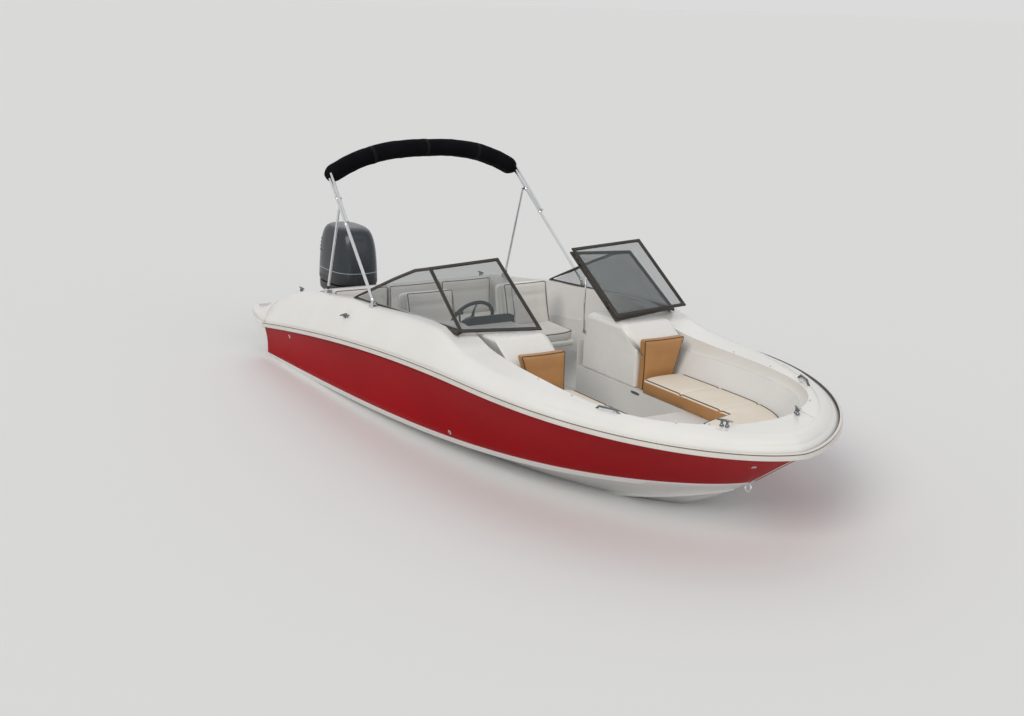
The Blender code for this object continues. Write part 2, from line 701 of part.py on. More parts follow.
for side, name in ((1, "port"), (-1, "stbd")):
    part(f"swim_platform_{name}", platform_mesh(side), "gelcoat")
    combine(hull, [extension_mesh(side)])
    part(f"console_{name}", console_mesh(side), "gelcoat")
    part(f"bow_cushion_{name}", bow_pad(side), "vinyl")
    low, high = sorted((side * (AISLE_HALF + 0.02), side * (BOW_AFT_HALF - 0.07)))
    part(f"bow_backrest_{name}",
         leaning_pad("bow_backrest", CONSOLE_FRONT_X + GAP, BOW_SHELF_Z + 2 * GAP, BACK_TOP_Z,
                     low, high, BACK_THICK, 0.0,
                     (0.0, BACK_TUCK) if side > 0 else (BACK_TUCK, 0.0)), "caramel")
    part(f"seat_pedestal_{name}", pedestal_mesh(side * SEAT_Y), "steel")
    part(f"seat_{name}", seat_mesh(side * SEAT_Y), "vinyl")
part("dash_pod", dash_mesh(), "black")

# Stern bench: a moulded base, a cushion and a backrest across the boat
BENCH_LONG = 0.65
BENCH_FORE_X = COCKPIT_AFT_X + BENCH_LONG
BENCH_Z = 0.36
BENCH_PAD_Z = 0.48
BENCH_BACK_Z = 0.78
BENCH_IN = 0.11
BENCH_HALF = COCKPIT_FLOOR_HALF - BENCH_IN
BENCH_BACK_THICK = 0.14
BENCH_BACK_IN = 0.10
BENCH_BACK_HALF = COCKPIT_KNEE_HALF - BENCH_BACK_IN

bench_aft = COCKPIT_AFT_X + LINER_WALL + GAP
part("bench_base", slab("base", (bench_aft, -BENCH_HALF, SOLE_Z + GAP),
                        (BENCH_FORE_X - 0.03, BENCH_HALF, BENCH_Z), 0.01), "liner")
part("bench_cushion", slab("cushion", (bench_aft + BENCH_BACK_THICK + 0.02, -BENCH_BACK_HALF, BENCH_Z + GAP),
                           (BENCH_FORE_X, BENCH_BACK_HALF, BENCH_PAD_Z), 0.03), "vinyl")
part("bench_backrest", leaning_pad("back", bench_aft, BENCH_Z + GAP, BENCH_BACK_Z,
                                   -BENCH_BACK_HALF + 0.02, BENCH_BACK_HALF - 0.02,
                                   BENCH_BACK_THICK, 0.0), "vinyl")


# Windshield: wraparound frames of round-edged bar with glass panes
BAR_R = 0.014
BAR_SIDES = 8
GLASS_THICK = 0.005
POST_Y = AISLE_HALF + 0.015
POST_FOOT = Vector((0.567, POST_Y, 0.966))
POST_HEAD = Vector((-0.06, POST_Y, 1.37))
CORNER_FOOT = Vector((0.47, HALF_BEAM - 0.265, 0.985))
CORNER_HEAD = Vector((-0.07, HALF_BEAM - 0.302, 1.34))
SIDE_RAIL = [(-0.30, 1.285), (-0.62, 1.16), (-0.95, 1.02)]
SIDE_END = Vector((-1.28, HALF_BEAM - 0.262, 0.885))
SILL_SHARES = (0.25, 0.5, 0.75)
PIN_AHEAD = 0.02
GATE_CLEAR = 0.008
GATE_OPEN_DEG = 176.0
KNUCKLE_R = 0.008
KNUCKLE_LONG = 0.03
LEAF_THICK = 0.005
KNUCKLE_SHARES = (0.15, 0.80)
STRUT_R = 0.007
STRUT_HEAD_SHARE = 0.66
ROD_FOOT = Vector((0.19, AISLE_HALF - 0.010, 0.80))
ROD_BEND = Vector((0.178, AISLE_HALF - 0.010, 1.0))
ROD_PAD = 0.02


def flip(points, side):
    return [Vector((p[0], p[1] * side, p[2])) for p in points]


def side_line():
    """Top rail of the side pane from the corner head to its aft end."""
    lean = (CORNER_FOOT.y - CORNER_HEAD.y) / (CORNER_HEAD.z - CORNER_FOOT.z)
    return [Vector((x, CORNER_HEAD.y + lean * (CORNER_HEAD.z - z), z)) for x, z in SIDE_RAIL]


def inset_outline(points, by):
    """Move each corner of a nearly flat outline inwards by a fixed distance."""
    count = len(points)
    normal = Vector()
    for a, b in zip(points, points[1:] + points[:1]):
        normal += a.cross(b)
    normal.normalize()
    moved = []
    for i, p in enumerate(points):
        a = (p - points[i - 1]).normalized()
        b = (points[(i + 1) % count] - p).normalized()
        na, nb = normal.cross(a), normal.cross(b)
        mid = (na + nb).normalized()
        moved.append(p + mid * (by / max(mid.dot(na), 0.1)))
    return moved, normal


def pane(name, points, edge=BAR_R * math.cos(math.pi / BAR_SIDES) + GAP):
    """A glass pane that fills a loop of bars."""
    inner, normal = inset_outline(points, edge)
    half = 0.5 * GLASS_THICK
    return loft(name, [[p - normal * half for p in inner], [p + normal * half for p in inner]])


def loop_frame(points, radius=BAR_R, sides=BAR_SIDES):
    """One closed bar round a flat outline, mitred at its corners."""
    count = len(points)
    normal = sum((a.cross(b) for a, b in zip(points, points[1:] + points[:1])), Vector())
    normal.normalize()
    bm = bmesh.new()
    rows = []
    for i, p in enumerate(points):
        a = normal.cross((p - points[i - 1]).normalized())
        b = normal.cross((points[(i + 1) % count] - p).normalized())
        mitre = (a + b) / (1 + a.dot(b))
        rows.append([bm.verts.new(p + radius * (math.cos(t) * normal + math.sin(t) * mitre))
                     for t in (math.tau * (k + 0.5) / sides for k in range(sides))])
    for i in range(count):
        low, high = rows[i], rows[(i + 1) % count]
        for j in range(sides):
            k = (j + 1) % sides
            bm.faces.new((low[j], low[k], high[k], high[j]))
    bmesh.ops.triangulate(bm, faces=bm.faces[:])
    return mesh_from("loop", bm)


def raised_copy(piece, by):
    """A piece's mesh lifted a little, to cut what stands on it."""
    mesh = piece.data.copy()
    mesh.transform(Matrix.Translation((0, 0, by)))
    return mesh


def swollen_copy(piece, by):
    """A piece's mesh with each point moved out along its normal."""
    mesh = piece.data.copy()
    for vert in mesh.vertices:
        vert.co += vert.normal * by
    return mesh


def gate_corners():
    clear = BAR_R + GATE_CLEAR + BAR_R
    foot, head = POST_FOOT.copy(), POST_HEAD.copy()
    foot.y -= clear
    head.y -= clear
    up = (POST_HEAD - POST_FOOT).normalized()
    foot += up * 0.5 * GATE_CLEAR
    return [foot, Vector((foot.x, -foot.y, foot.z)), Vector((head.x, -head.y, head.z)), head]


def gate_pin():
    """The hinge line of the centre panel, ahead of the port post."""
    up = (POST_HEAD - POST_FOOT).normalized()
    ahead = Vector((0, 1, 0)).cross(up)
    ahead = -ahead if ahead.x < 0 else ahead
    shift = ahead * PIN_AHEAD - Vector((0, BAR_R + 0.5 * GATE_CLEAR, 0))
    return POST_FOOT + shift, up


def knuckle(along, to):
    """One barrel of the gate's hinge at a height on its pin, with its leaf to a bar."""
    base, up = gate_pin()
    low = base + up * along
    barrel = turned("barrel", low, up, [(0, KNUCKLE_R), (KNUCKLE_LONG, KNUCKLE_R)], 10)
    away = (to - base) - up * (to - base).dot(up)
    side = up.cross(away).normalized() * (0.5 * LEAF_THICK)
    ring = [low - side, low + side, low + away + side, low + away - side]
    leaf = loft("leaf", [ring, [p + up * KNUCKLE_LONG for p in ring]])
    return [barrel, leaf]


def swung(mesh, base, axis, degrees):
    turn = Matrix.Rotation(math.radians(degrees), 4, axis)
    mesh.transform(Matrix.Translation(base) @ turn @ Matrix.Translation(-base))
    return mesh


POST_LONG = (POST_HEAD - POST_FOOT).length
consoles = {1: bpy.data.objects["console_port"], -1: bpy.data.objects["console_stbd"]}
for side, name in ((1, "port"), (-1, "stbd")):
    front = flip([CORNER_FOOT, POST_FOOT, POST_HEAD, CORNER_HEAD], side)
    rail_points = flip(side_line(), side)
    end = flip([SIDE_END], side)[0]
    sill = [front[0].lerp(end, s) for s in SILL_SHARES]
    side_loop = [front[0], front[3], *rail_points, end]
    chain = [front[3], *rail_points, end, *sill[::-1], front[0]]
    frame = part(f"windshield_frame_{name}", loop_frame(front), "bronze",
                 join=[sweep("rail", chain, 0.94 * BAR_R, 8)])
    if side > 0:
        for share in KNUCKLE_SHARES:
            combine(frame, knuckle(share * POST_LONG, POST_FOOT))
    combine(frame, [raised_copy(deck, GAP), raised_copy(consoles[side], GAP)], "DIFFERENCE")
    part(f"windshield_glass_{name}_front", pane("front", front[::side]), "glass")
    part(f"windshield_glass_{name}_side", pane("side", side_loop[::-side], BAR_R), "glass")
    foot, bend, head = flip([ROD_FOOT, ROD_BEND, POST_FOOT.lerp(POST_HEAD, STRUT_HEAD_SHARE)], side)
    low, high = sorted((foot.y, side * AISLE_HALF))
    strut = part(f"windshield_strut_{name}", sweep("strut", [foot, bend, head], STRUT_R, 8), "bronze",
                 join=[slab("foot", (foot.x - ROD_PAD, low, foot.z - ROD_PAD),
                            (foot.x + ROD_PAD, high, foot.z + 0.5 * ROD_PAD))])
    combine(strut, [swollen_copy(frame, 2 * GAP)], "DIFFERENCE")

corners = gate_corners()
pin, pin_axis = gate_pin()
gate_hinges = [swung(mesh, pin, pin_axis, GATE_OPEN_DEG) for share in KNUCKLE_SHARES
               for mesh in knuckle(share * POST_LONG + KNUCKLE_LONG + 2 * GAP, corners[0])]
part("windshield_gate", swung(loop_frame(corners), pin, pin_axis, GATE_OPEN_DEG), "bronze",
     join=gate_hinges)
part("windshield_gate_glass", swung(pane("gate", corners), pin, pin_axis, GATE_OPEN_DEG), "glass")

# Folding top, folded in its boot and held up on its legs
TOP_FOOT_X = -0.83
TOP_FOOT_Y = HALF_BEAM - 0.212
EYE_R = 0.018
PLATE_HIGH = 0.008
CHEEK_THICK = 0.006
PIN_PLAY = 0.0016
BOOT_END = Vector((-1.87, HALF_BEAM - 0.305, 1.79))
BOOT_CENTRE_Z = 2.015
BOOT_HALF_WIDE = HALF_BEAM - 0.29
BOOT_X = -1.90
BOOT_HIGH = 0.078
BOOT_THICK = 0.085
BOOT_ARCH_POWER_SHARE = 2.6
TUBE_R = 0.0125
SECOND_TUBE_R = 0.011
SECOND_ALONG_SHARE = 0.62
SECOND_AWAY = 0.032
STRUT_ALONG_SHARE = 0.83
STRUT_FOOT = Vector((-1.95, HALF_BEAM - 0.245, 0.822))
STRUT_BESIDE = 0.032
MOUNT_LONG = 0.07
MOUNT_WIDE = 0.03


def boot_mesh():
    """The padded bundle of canvas and bows, arched across the boat."""
    rings = []
    steps = 16
    for k in range(steps + 1):
        across = -math.cos(math.pi * k / steps)
        y = BOOT_HALF_WIDE * across
        drop = (BOOT_CENTRE_Z - BOOT_END.z) * abs(across) ** BOOT_ARCH_POWER_SHARE
        slim = 0.45 if k in (0, steps) else 0.85 if k in (1, steps - 1) else 1.0
        near = max(-0.999, min(0.999, across))
        slope = -(BOOT_CENTRE_Z - BOOT_END.z) * BOOT_ARCH_POWER_SHARE / BOOT_HALF_WIDE
        slope *= abs(near) ** (BOOT_ARCH_POWER_SHARE - 1) * (1 if near > 0 else -1)
        along = Vector((0, 1, slope)).normalized()
        out = Vector((0, -along.z, along.y))
        centre = Vector((BOOT_X, y, BOOT_CENTRE_Z - drop))
        rings.append([centre + slim * (BOOT_THICK * math.cos(a) * Vector((1, 0, 0))
                                       + BOOT_HIGH * math.sin(a) * out)
                      for a in (math.tau * j / 12 for j in range(12))])
    return loft("boot", rings)


boot = part("bimini_boot", boot_mesh(), "canvas")
TOP_FOOT = Vector((TOP_FOOT_X, TOP_FOOT_Y,
                   crown_height(TOP_FOOT_X) + PLATE_HIGH + EYE_R + 2 * GAP))
for side, name in ((1, "port"), (-1, "stbd")):
    foot, top = flip([TOP_FOOT, BOOT_END], side)
    lean = (top - foot).normalized()
    away = lean.cross(Vector((0, 1, 0))).normalized()
    away = -away if away.x < 0 else away
    reach = top + lean * 0.06
    leg = part(f"bimini_leg_{name}", sweep("leg", [foot, reach], TUBE_R, 10), "steel",
               join=[turned("eye", foot - Vector((0, TUBE_R, 0)), (0, 1, 0),
                            [(0, EYE_R), (2 * TUBE_R, EYE_R)], 12)])
    start = foot.lerp(top, SECOND_ALONG_SHARE) + away * SECOND_AWAY
    stop = top + lean * 0.05 + away * SECOND_AWAY * 1.4
    second = part(f"bimini_second_leg_{name}", sweep("second", [start, stop], SECOND_TUBE_R, 10),
                  "steel")
    combine(second, [sweep("hinge", [start, start - away * (SECOND_AWAY - TUBE_R - 2 * GAP)], 0.01, 8)])
    for piece in (leg, second):
        combine(piece, [swollen_copy(boot, 2 * GAP)], "DIFFERENCE")
    base = crown_height(foot.x)
    low, high = base - 0.006, foot.z + 0.016
    fork = []
    for edge in (-1, 1):
        y0 = foot.y + edge * (TUBE_R + PIN_PLAY + 0.5 * CHEEK_THICK)
        fork.append(slab("cheek", (foot.x - EYE_R, y0 - 0.5 * CHEEK_THICK, low),
                         (foot.x + EYE_R, y0 + 0.5 * CHEEK_THICK, high)))
    plate = slab("plate", (foot.x - 0.5 * MOUNT_LONG, foot.y - MOUNT_WIDE, low),
                 (foot.x + 0.5 * MOUNT_LONG, foot.y + MOUNT_WIDE, base + PLATE_HIGH))
    mount = part(f"bimini_mount_{name}", plate, "steel", join=fork)
    combine(mount, [raised_copy(deck, GAP)], "DIFFERENCE")
    on_leg = foot.lerp(top, STRUT_ALONG_SHARE)
    on_leg.y += -side * STRUT_BESIDE
    strut_foot = flip([STRUT_FOOT], side)[0]
    strut_foot.y = on_leg.y
    pivot = [on_leg, Vector((on_leg.x, on_leg.y + side * (STRUT_BESIDE - TUBE_R - 3 * GAP), on_leg.z))]
    part(f"bimini_strut_{name}", sweep("strut", [on_leg, strut_foot], SECOND_TUBE_R, 10), "steel",
         join=[sweep("pivot", pivot, 0.008, 8, up=Vector((0, 0, 1)))])
    base = crown_height(strut_foot.x)
    socket = slab("socket", (strut_foot.x - 0.03, strut_foot.y - 0.022, base - 0.006),
                  (strut_foot.x + 0.03, strut_foot.y + 0.022, strut_foot.z - 0.006))
    lower = part(f"bimini_strut_mount_{name}", socket, "steel")
    combine(lower, [raised_copy(deck, GAP)], "DIFFERENCE")


# Outboard motor on the transom notch
TILT_BACK = 0.051
TILT_X = TRANSOM_X - TILT_BACK
TILT_Z = 0.235
STEER_BACK = 0.166
STEER_X = TRANSOM_X - STEER_BACK
MOTOR_LOW_Z = -0.36
BRACKET_HALF = 0.125
BRACKET_CHEEK = 0.022
BRACKET_LOW_Z = -0.10
HOOK_THICK = 0.02
TILT_TUBE_R = 0.02
SWIVEL_HALF = 0.08
SWIVEL_R = 0.038
SWIVEL_LOW_Z = -0.16
SWIVEL_TOP_Z = 0.33
ARM_THICK = 0.045
RUN_GAP = 0.0006
WEB_SHORT = 0.02
WEB_SET = 0.041
WEB_HIGH = 0.033
WEB_FOOT = 0.022
LEG_BACK = 0.055
LEG_LONG = 0.285
LEG_FORE_X = STEER_X - LEG_BACK
LEG_AFT_X = LEG_FORE_X - LEG_LONG
LEG_HALF = 0.075
PAN_LOW_Z = 0.42
PAN_TOP_Z = 0.53
COWL_TOP_Z = 1.10
COWL_HALF = 0.215
COWL_BACK = 0.05
COWL_LONG = 0.71
COWL_FORE_X = STEER_X - COWL_BACK
COWL_AFT_X = COWL_FORE_X - COWL_LONG
COWL_WALL = 0.012
PLATE_HALF = 0.13
PLATE_THICK = 0.012
PLATE_BEYOND = 0.15
PLATE_AFT_X = LEG_AFT_X - PLATE_BEYOND
PROP_Z = -0.575
PROP_BACK = 0.04
PROP_X = LEG_AFT_X - PROP_BACK
PROP_R = 0.178
HUB_R = 0.048
HUB_LONG = 0.12
BLADES = 3
TORPEDO_R = 0.052
TORPEDO_LONG = 0.42
TORPEDO_FORE_X = PROP_X + TORPEDO_LONG
SKEG_Z = -0.79

bracket_x = TRANSOM_X - GAP
cheeks = []
for edge in (-1, 1):
    low, high = sorted((edge * (BRACKET_HALF - BRACKET_CHEEK), edge * BRACKET_HALF))
    profile = [(bracket_x, BRACKET_LOW_Z), (bracket_x, NOTCH_Z + GAP),
               (WELL_AFT_X + 0.02, NOTCH_Z + GAP), (WELL_AFT_X + 0.02, NOTCH_Z + HOOK_THICK),
               (TILT_X + 0.02, NOTCH_Z + 2.2 * HOOK_THICK), (TILT_X - 0.035, TILT_Z + 0.02),
               (TILT_X - 0.04, TILT_Z - 0.05), (bracket_x - 0.085, BRACKET_LOW_Z + 0.05),
               (bracket_x - 0.065, BRACKET_LOW_Z)]
    cheeks.append(loft("cheek", [[(x, y, z) for x, z in profile] for y in (low, high)]))
pads = [slab("pad", (bracket_x - HOOK_THICK, -BRACKET_HALF + 0.002, z),
             (bracket_x - GAP, BRACKET_HALF - 0.002, z + 0.05)) for z in (BRACKET_LOW_Z + 0.003,)]
tube = turned("tube", (TILT_X, -BRACKET_HALF - 0.015, TILT_Z), (0, 1, 0),
              [(0, TILT_TUBE_R), (2 * BRACKET_HALF + 0.03, TILT_TUBE_R)], 16)
RAM_BASE = Vector((TILT_X, 0.0, -0.075))
RAM_PIN_R = 0.008
ram_pin = turned("pin", RAM_BASE - Vector((0, BRACKET_HALF + RAM_PIN_R, 0)), (0, 1, 0),
                 [(0, RAM_PIN_R), (2 * (BRACKET_HALF + RAM_PIN_R), RAM_PIN_R)], 12)
part("motor_clamp_bracket", cheeks[0], "motor_black", join=[cheeks[1], tube, ram_pin, *pads])

SWIVEL_EYE_R = 0.034
swivel_profile = [(TILT_X - WEB_SET, TILT_Z - WEB_HIGH), (TILT_X - WEB_SET, TILT_Z + WEB_HIGH),
                  (STEER_X - RUN_GAP, SWIVEL_TOP_Z - WEB_SHORT),
                  (STEER_X - RUN_GAP, SWIVEL_LOW_Z + WEB_SHORT),
                  (STEER_X + WEB_FOOT, SWIVEL_LOW_Z + WEB_SHORT)]
swivel_web = loft("web", [[(x, y, z) for x, z in swivel_profile]
                          for y in (-0.6 * SWIVEL_HALF, 0.6 * SWIVEL_HALF)])
eye = turned("eye", (TILT_X, -SWIVEL_HALF, TILT_Z), (0, 1, 0),
             [(0, SWIVEL_EYE_R), (2 * SWIVEL_HALF, SWIVEL_EYE_R)], 18)
link = slab("link", (TILT_X - 0.071, -SWIVEL_HALF + 0.006, TILT_Z - 0.024),
            (TILT_X - 0.0093, SWIVEL_HALF - 0.006, TILT_Z + 0.026))
column = turned("column", (STEER_X, 0, SWIVEL_LOW_Z), (0, 0, 1),
                [(0, SWIVEL_R), (SWIVEL_TOP_Z - SWIVEL_LOW_Z, SWIVEL_R)], 16)
swivel = part("motor_swivel_bracket", eye, "motor_black", join=[link, swivel_web, column])
combine(swivel, [turned("bore", (TILT_X, -BRACKET_HALF, TILT_Z), (0, 1, 0),
                        [(0, TILT_TUBE_R + RUN_GAP), (2 * BRACKET_HALF, TILT_TUBE_R + RUN_GAP)], 16)],
        "DIFFERENCE")

# Tilt cylinder between the cheeks, pinned low on the bracket, its rod to the swivel
RAM_EYE_BACK = 0.034
RAM_EYE = Vector((TILT_X - RAM_EYE_BACK, 0.0, 0.13))
RAM_R = 0.022
RAM_ROD_R = 0.009
RAM_BODY_SHARE = 0.80
ram = RAM_EYE - RAM_BASE
ram_axis = ram.normalized()
cylinder = part("tilt_cylinder", turned("ram", RAM_BASE + ram_axis * 0.005, ram_axis,
                                        [(0, 0.7 * RAM_R), (0.015, RAM_R),
                                         (RAM_BODY_SHARE * ram.length, RAM_R)], 14), "motor_black",
                cut=[turned("bore", RAM_BASE + ram_axis * 0.02, ram_axis,
                            [(0, RAM_ROD_R + RUN_GAP), (ram.length, RAM_ROD_R + RUN_GAP)], 14)])
combine(cylinder, [turned("eye", RAM_BASE - Vector((0, RAM_R, 0)), (0, 1, 0),
                          [(0, 2 * RAM_PIN_R), (2 * RAM_R, 2 * RAM_PIN_R)], 14)])
combine(cylinder, [turned("hole", RAM_BASE - Vector((0, BRACKET_HALF, 0)), (0, 1, 0),
                          [(0, RAM_PIN_R + RUN_GAP), (2 * BRACKET_HALF, RAM_PIN_R + RUN_GAP)], 12)],
        "DIFFERENCE")
part("tilt_rod", turned("rod", RAM_BASE + ram_axis * 0.025, ram_axis,
                        [(0, RAM_ROD_R), (ram.length - 0.033, RAM_ROD_R)], 14), "steel",
     join=[turned("eye", RAM_EYE - Vector((0, 0.018, 0)), (0, 1, 0),
                  [(0, 0.013), (0.036, 0.013)], 12)])


def oval(cx, half_long, half_wide, z, power=2.6, points=20, fore=1.0):
    """Plan section of a housing: a rounded form longer aft than fore."""
    ring = []
    for k in range(points):
        a = math.tau * k / points
        c, s = math.cos(a), math.sin(a)
        x = half_long * abs(c) ** (2 / power) * (1 if c > 0 else -1)
        if c > 0:
            x *= fore
        ring.append((cx + x, half_wide * abs(s) ** (2 / power) * (1 if s > 0 else -1), z))
    return ring


# Midsection: arms above and below the swivel, the exhaust housing and the gearcase
leg_x = 0.5 * (LEG_FORE_X + LEG_AFT_X)
leg_long = 0.5 * (LEG_FORE_X - LEG_AFT_X)
leg_mesh = loft("leg", [
    oval(leg_x, leg_long * 0.80, LEG_HALF * 0.62, MOTOR_LOW_Z + GAP, 2.2),
    oval(leg_x, leg_long * 0.85, LEG_HALF * 0.72, MOTOR_LOW_Z + 0.12, 2.2),
    oval(leg_x, leg_long * 0.95, LEG_HALF, MOTOR_LOW_Z + 0.40, 2.4),
    oval(leg_x - 0.02, leg_long * 1.1, LEG_HALF * 1.5, PAN_LOW_Z - 0.06, 2.6),
    oval(leg_x - 0.02, leg_long * 1.2, LEG_HALF * 1.9, PAN_LOW_Z - GAP, 2.8)])
upper_arm = slab("upper", (leg_x, -0.055, SWIVEL_TOP_Z + RUN_GAP),
                 (STEER_X + 0.035, 0.055, SWIVEL_TOP_Z + RUN_GAP + ARM_THICK), 0.01)
lower_arm = slab("lower", (leg_x, -0.05, SWIVEL_LOW_Z - RUN_GAP - ARM_THICK),
                 (STEER_X + 0.03, 0.05, SWIVEL_LOW_Z - RUN_GAP), 0.01)
midsection = part("motor_midsection", leg_mesh, "motor", join=[upper_arm, lower_arm])

plate = stacked("plate", [(z, [(LEG_FORE_X + 0.02, 0.35 * PLATE_HALF),
                               (leg_x, 0.8 * PLATE_HALF), (LEG_AFT_X, PLATE_HALF),
                               (PLATE_AFT_X, PLATE_HALF * 0.9), (PLATE_AFT_X, -PLATE_HALF * 0.9),
                               (LEG_AFT_X, -PLATE_HALF), (leg_x, -0.8 * PLATE_HALF),
                               (LEG_FORE_X + 0.02, -0.35 * PLATE_HALF)])
                          for z in (MOTOR_LOW_Z - PLATE_THICK, MOTOR_LOW_Z)])
strut = loft("strut", [oval(leg_x, leg_long * 0.72, LEG_HALF * 0.40, PROP_Z, 2.0),
                       oval(leg_x, leg_long * 0.78, LEG_HALF * 0.52, MOTOR_LOW_Z - 0.5 * PLATE_THICK, 2.0)])
torpedo = turned("torpedo", (PROP_X, 0, PROP_Z), (1, 0, 0),
                 [(0, TORPEDO_R * 0.92), (0.10, TORPEDO_R), (0.24, TORPEDO_R * 0.97),
                  (0.33, TORPEDO_R * 0.78), (0.39, TORPEDO_R * 0.42),
                  (TORPEDO_FORE_X - PROP_X, TORPEDO_R * 0.1)], 18)
skeg = loft("skeg", [
    [(leg_x + 0.10, 0.010, PROP_Z - 0.03), (leg_x - 0.13, 0.010, PROP_Z - 0.03),
     (leg_x - 0.13, -0.010, PROP_Z - 0.03), (leg_x + 0.10, -0.010, PROP_Z - 0.03)],
    [(leg_x - 0.03, 0.004, SKEG_Z), (leg_x - 0.14, 0.004, SKEG_Z),
     (leg_x - 0.14, -0.004, SKEG_Z), (leg_x - 0.03, -0.004, SKEG_Z)]])
part("motor_gearcase", plate, "motor", join=[strut, torpedo, skeg])

# Propeller: hub with a flared tail and three swept blades
PITCH = 0.40
BLADE_ROOT_SHARE = 0.9


def blade_mesh(turn):
    """One blade as a loft of thin twisted sections from root to tip."""
    rings = []
    for share, chord, thick in ((0.0, 0.42, 0.012), (0.3, 0.62, 0.010), (0.6, 0.74, 0.007),
                                (0.85, 0.58, 0.005), (1.0, 0.22, 0.003)):
        r = HUB_R * BLADE_ROOT_SHARE + share * (PROP_R - HUB_R * BLADE_ROOT_SHARE)
        angle = math.atan2(PITCH, math.tau * r)
        long = chord * PROP_R
        ring = []
        for u, v in ((-0.5, 0.15), (-0.2, 0.5), (0.2, 0.5), (0.5, 0.15),
                     (0.5, -0.15), (0.2, -0.5), (-0.2, -0.5), (-0.5, -0.15)):
            along, off = u * long, v * thick
            x = along * math.sin(angle) - off * math.cos(angle)
            t = (along * math.cos(angle) + off * math.sin(angle)) / r + 0.25 * share + turn
            ring.append((PROP_X - 0.5 * HUB_LONG + x, r * math.sin(t), PROP_Z + r * math.cos(t)))
        rings.append(ring)
    return loft("blade", rings)


hub = turned("hub", (PROP_X - RUN_GAP, 0, PROP_Z), (-1, 0, 0),
             [(0, HUB_R * 0.97), (0.3 * HUB_LONG, HUB_R), (0.85 * HUB_LONG, HUB_R * 0.92),
              (HUB_LONG, HUB_R * 1.06)], 18)
part("propeller", hub, "steel", join=[blade_mesh(math.tau * k / BLADES) for k in range(BLADES)])

# Lower pan and cowl; the engine inside is one plain block
cowl_x = 0.5 * (COWL_FORE_X + COWL_AFT_X)
cowl_long = 0.5 * (COWL_FORE_X - COWL_AFT_X)
pan = part("motor_pan", loft("pan", [
    oval(cowl_x + 0.01, cowl_long * 0.84, COWL_HALF * 0.80, PAN_LOW_Z, 2.8),
    oval(cowl_x, cowl_long * 0.96, COWL_HALF * 0.97, PAN_LOW_Z + 0.04, 2.8),
    oval(cowl_x, cowl_long * 0.97, COWL_HALF * 0.98, PAN_TOP_Z, 2.8)]), "motor_black")
COWL_SHARES = [
    # height share, length share, width share, shift aft as a share of half length
    (0.00, 1.00, 1.00, 0.00), (0.12, 1.00, 1.00, 0.00), (0.40, 0.985, 0.97, 0.00),
    (0.66, 0.94, 0.92, 0.01), (0.84, 0.86, 0.83, 0.03), (0.94, 0.74, 0.70, 0.05),
    (1.00, 0.54, 0.48, 0.07)]


def cowl_rings(inset=0.0):
    rings = []
    for up, long, wide, aft in COWL_SHARES:
        z = PAN_TOP_Z + GAP + up * (COWL_TOP_Z - PAN_TOP_Z) - (inset if up else inset)
        rings.append(oval(cowl_x - aft * cowl_long, cowl_long * long - inset,
                          COWL_HALF * wide - inset, z, 2.8))
    return rings


part("motor_cowl", loft("cowl", cowl_rings()), "motor", cut=[loft("inside", cowl_rings(COWL_WALL))])
ENGINE_LONG_SHARES = (0.676, 0.563)
ENGINE_WIDE_SHARE = 0.605
ENGINE_HIGH_SHARE = 0.754
ENGINE_EDGE_SHARE = 0.056
part("motor_powerhead",
     slab("block", (cowl_x - ENGINE_LONG_SHARES[0] * cowl_long, -ENGINE_WIDE_SHARE * COWL_HALF,
                    PAN_TOP_Z + GAP),
          (cowl_x + ENGINE_LONG_SHARES[1] * cowl_long, ENGINE_WIDE_SHARE * COWL_HALF,
           PAN_TOP_Z + ENGINE_HIGH_SHARE * (COWL_TOP_Z - PAN_TOP_Z)), ENGINE_EDGE_SHARE * cowl_long),
     "motor_black")

# Helm wheel, throttle and deck hardware
WHEEL_CENTRE = Vector((-0.12, HELM_Y, 0.90))
WHEEL_TILT_DEG = 28.0
WHEEL_R = 0.175
WHEEL_RIM_R = 0.014
wheel_axis = Vector((math.cos(math.radians(WHEEL_TILT_DEG)), 0, -math.sin(math.radians(WHEEL_TILT_DEG))))
wheel_side, wheel_up = frame_at(wheel_axis)


def torus(centre, radius, thick, axis, around=28, sides=8):
    bm = bmesh.new()
    side, over = frame_at(axis)
    t = Vector(axis).normalized()
    rows = []
    for k in range(around):
        a = math.tau * k / around
        out = math.cos(a) * side + math.sin(a) * over
        rows.append([bm.verts.new(centre + out * radius + thick * (math.cos(b) * out + math.sin(b) * t))
                     for b in (math.tau * j / sides for j in range(sides))])
    for k in range(around):
        a, b = rows[k], rows[(k + 1) % around]
        for j in range(sides):
            i = (j + 1) % sides
            bm.faces.new((a[j], a[i], b[i], b[j]))
    return mesh_from("torus", bm)


spokes = []
for k in range(3):
    a = math.radians(90 + 120 * k)
    out = math.cos(a) * wheel_side + math.sin(a) * wheel_up
    spokes.append(sweep("spoke", [WHEEL_CENTRE + out * 0.02, WHEEL_CENTRE + out * WHEEL_R],
                        [0.016, 0.011], 6))
hub_mesh = turned("hub", WHEEL_CENTRE - wheel_axis * 0.015, wheel_axis,
                  [(0, 0.030), (0.012, 0.036), (0.04, 0.030)], 14)
part("steering_wheel", hub_mesh, "black",
     join=spokes + [torus(WHEEL_CENTRE, WHEEL_R, WHEEL_RIM_R, wheel_axis)])
dash = bpy.data.objects["dash_pod"]
column_base = WHEEL_CENTRE + wheel_axis * (0.04 - 0.015 + RUN_GAP * 0.2)
combine(dash, [turned("column", column_base, wheel_axis, [(0, 0.024), (0.10, 0.03)], 14)])
combine(dash, [raised_copy(consoles[-1], GAP)], "DIFFERENCE")

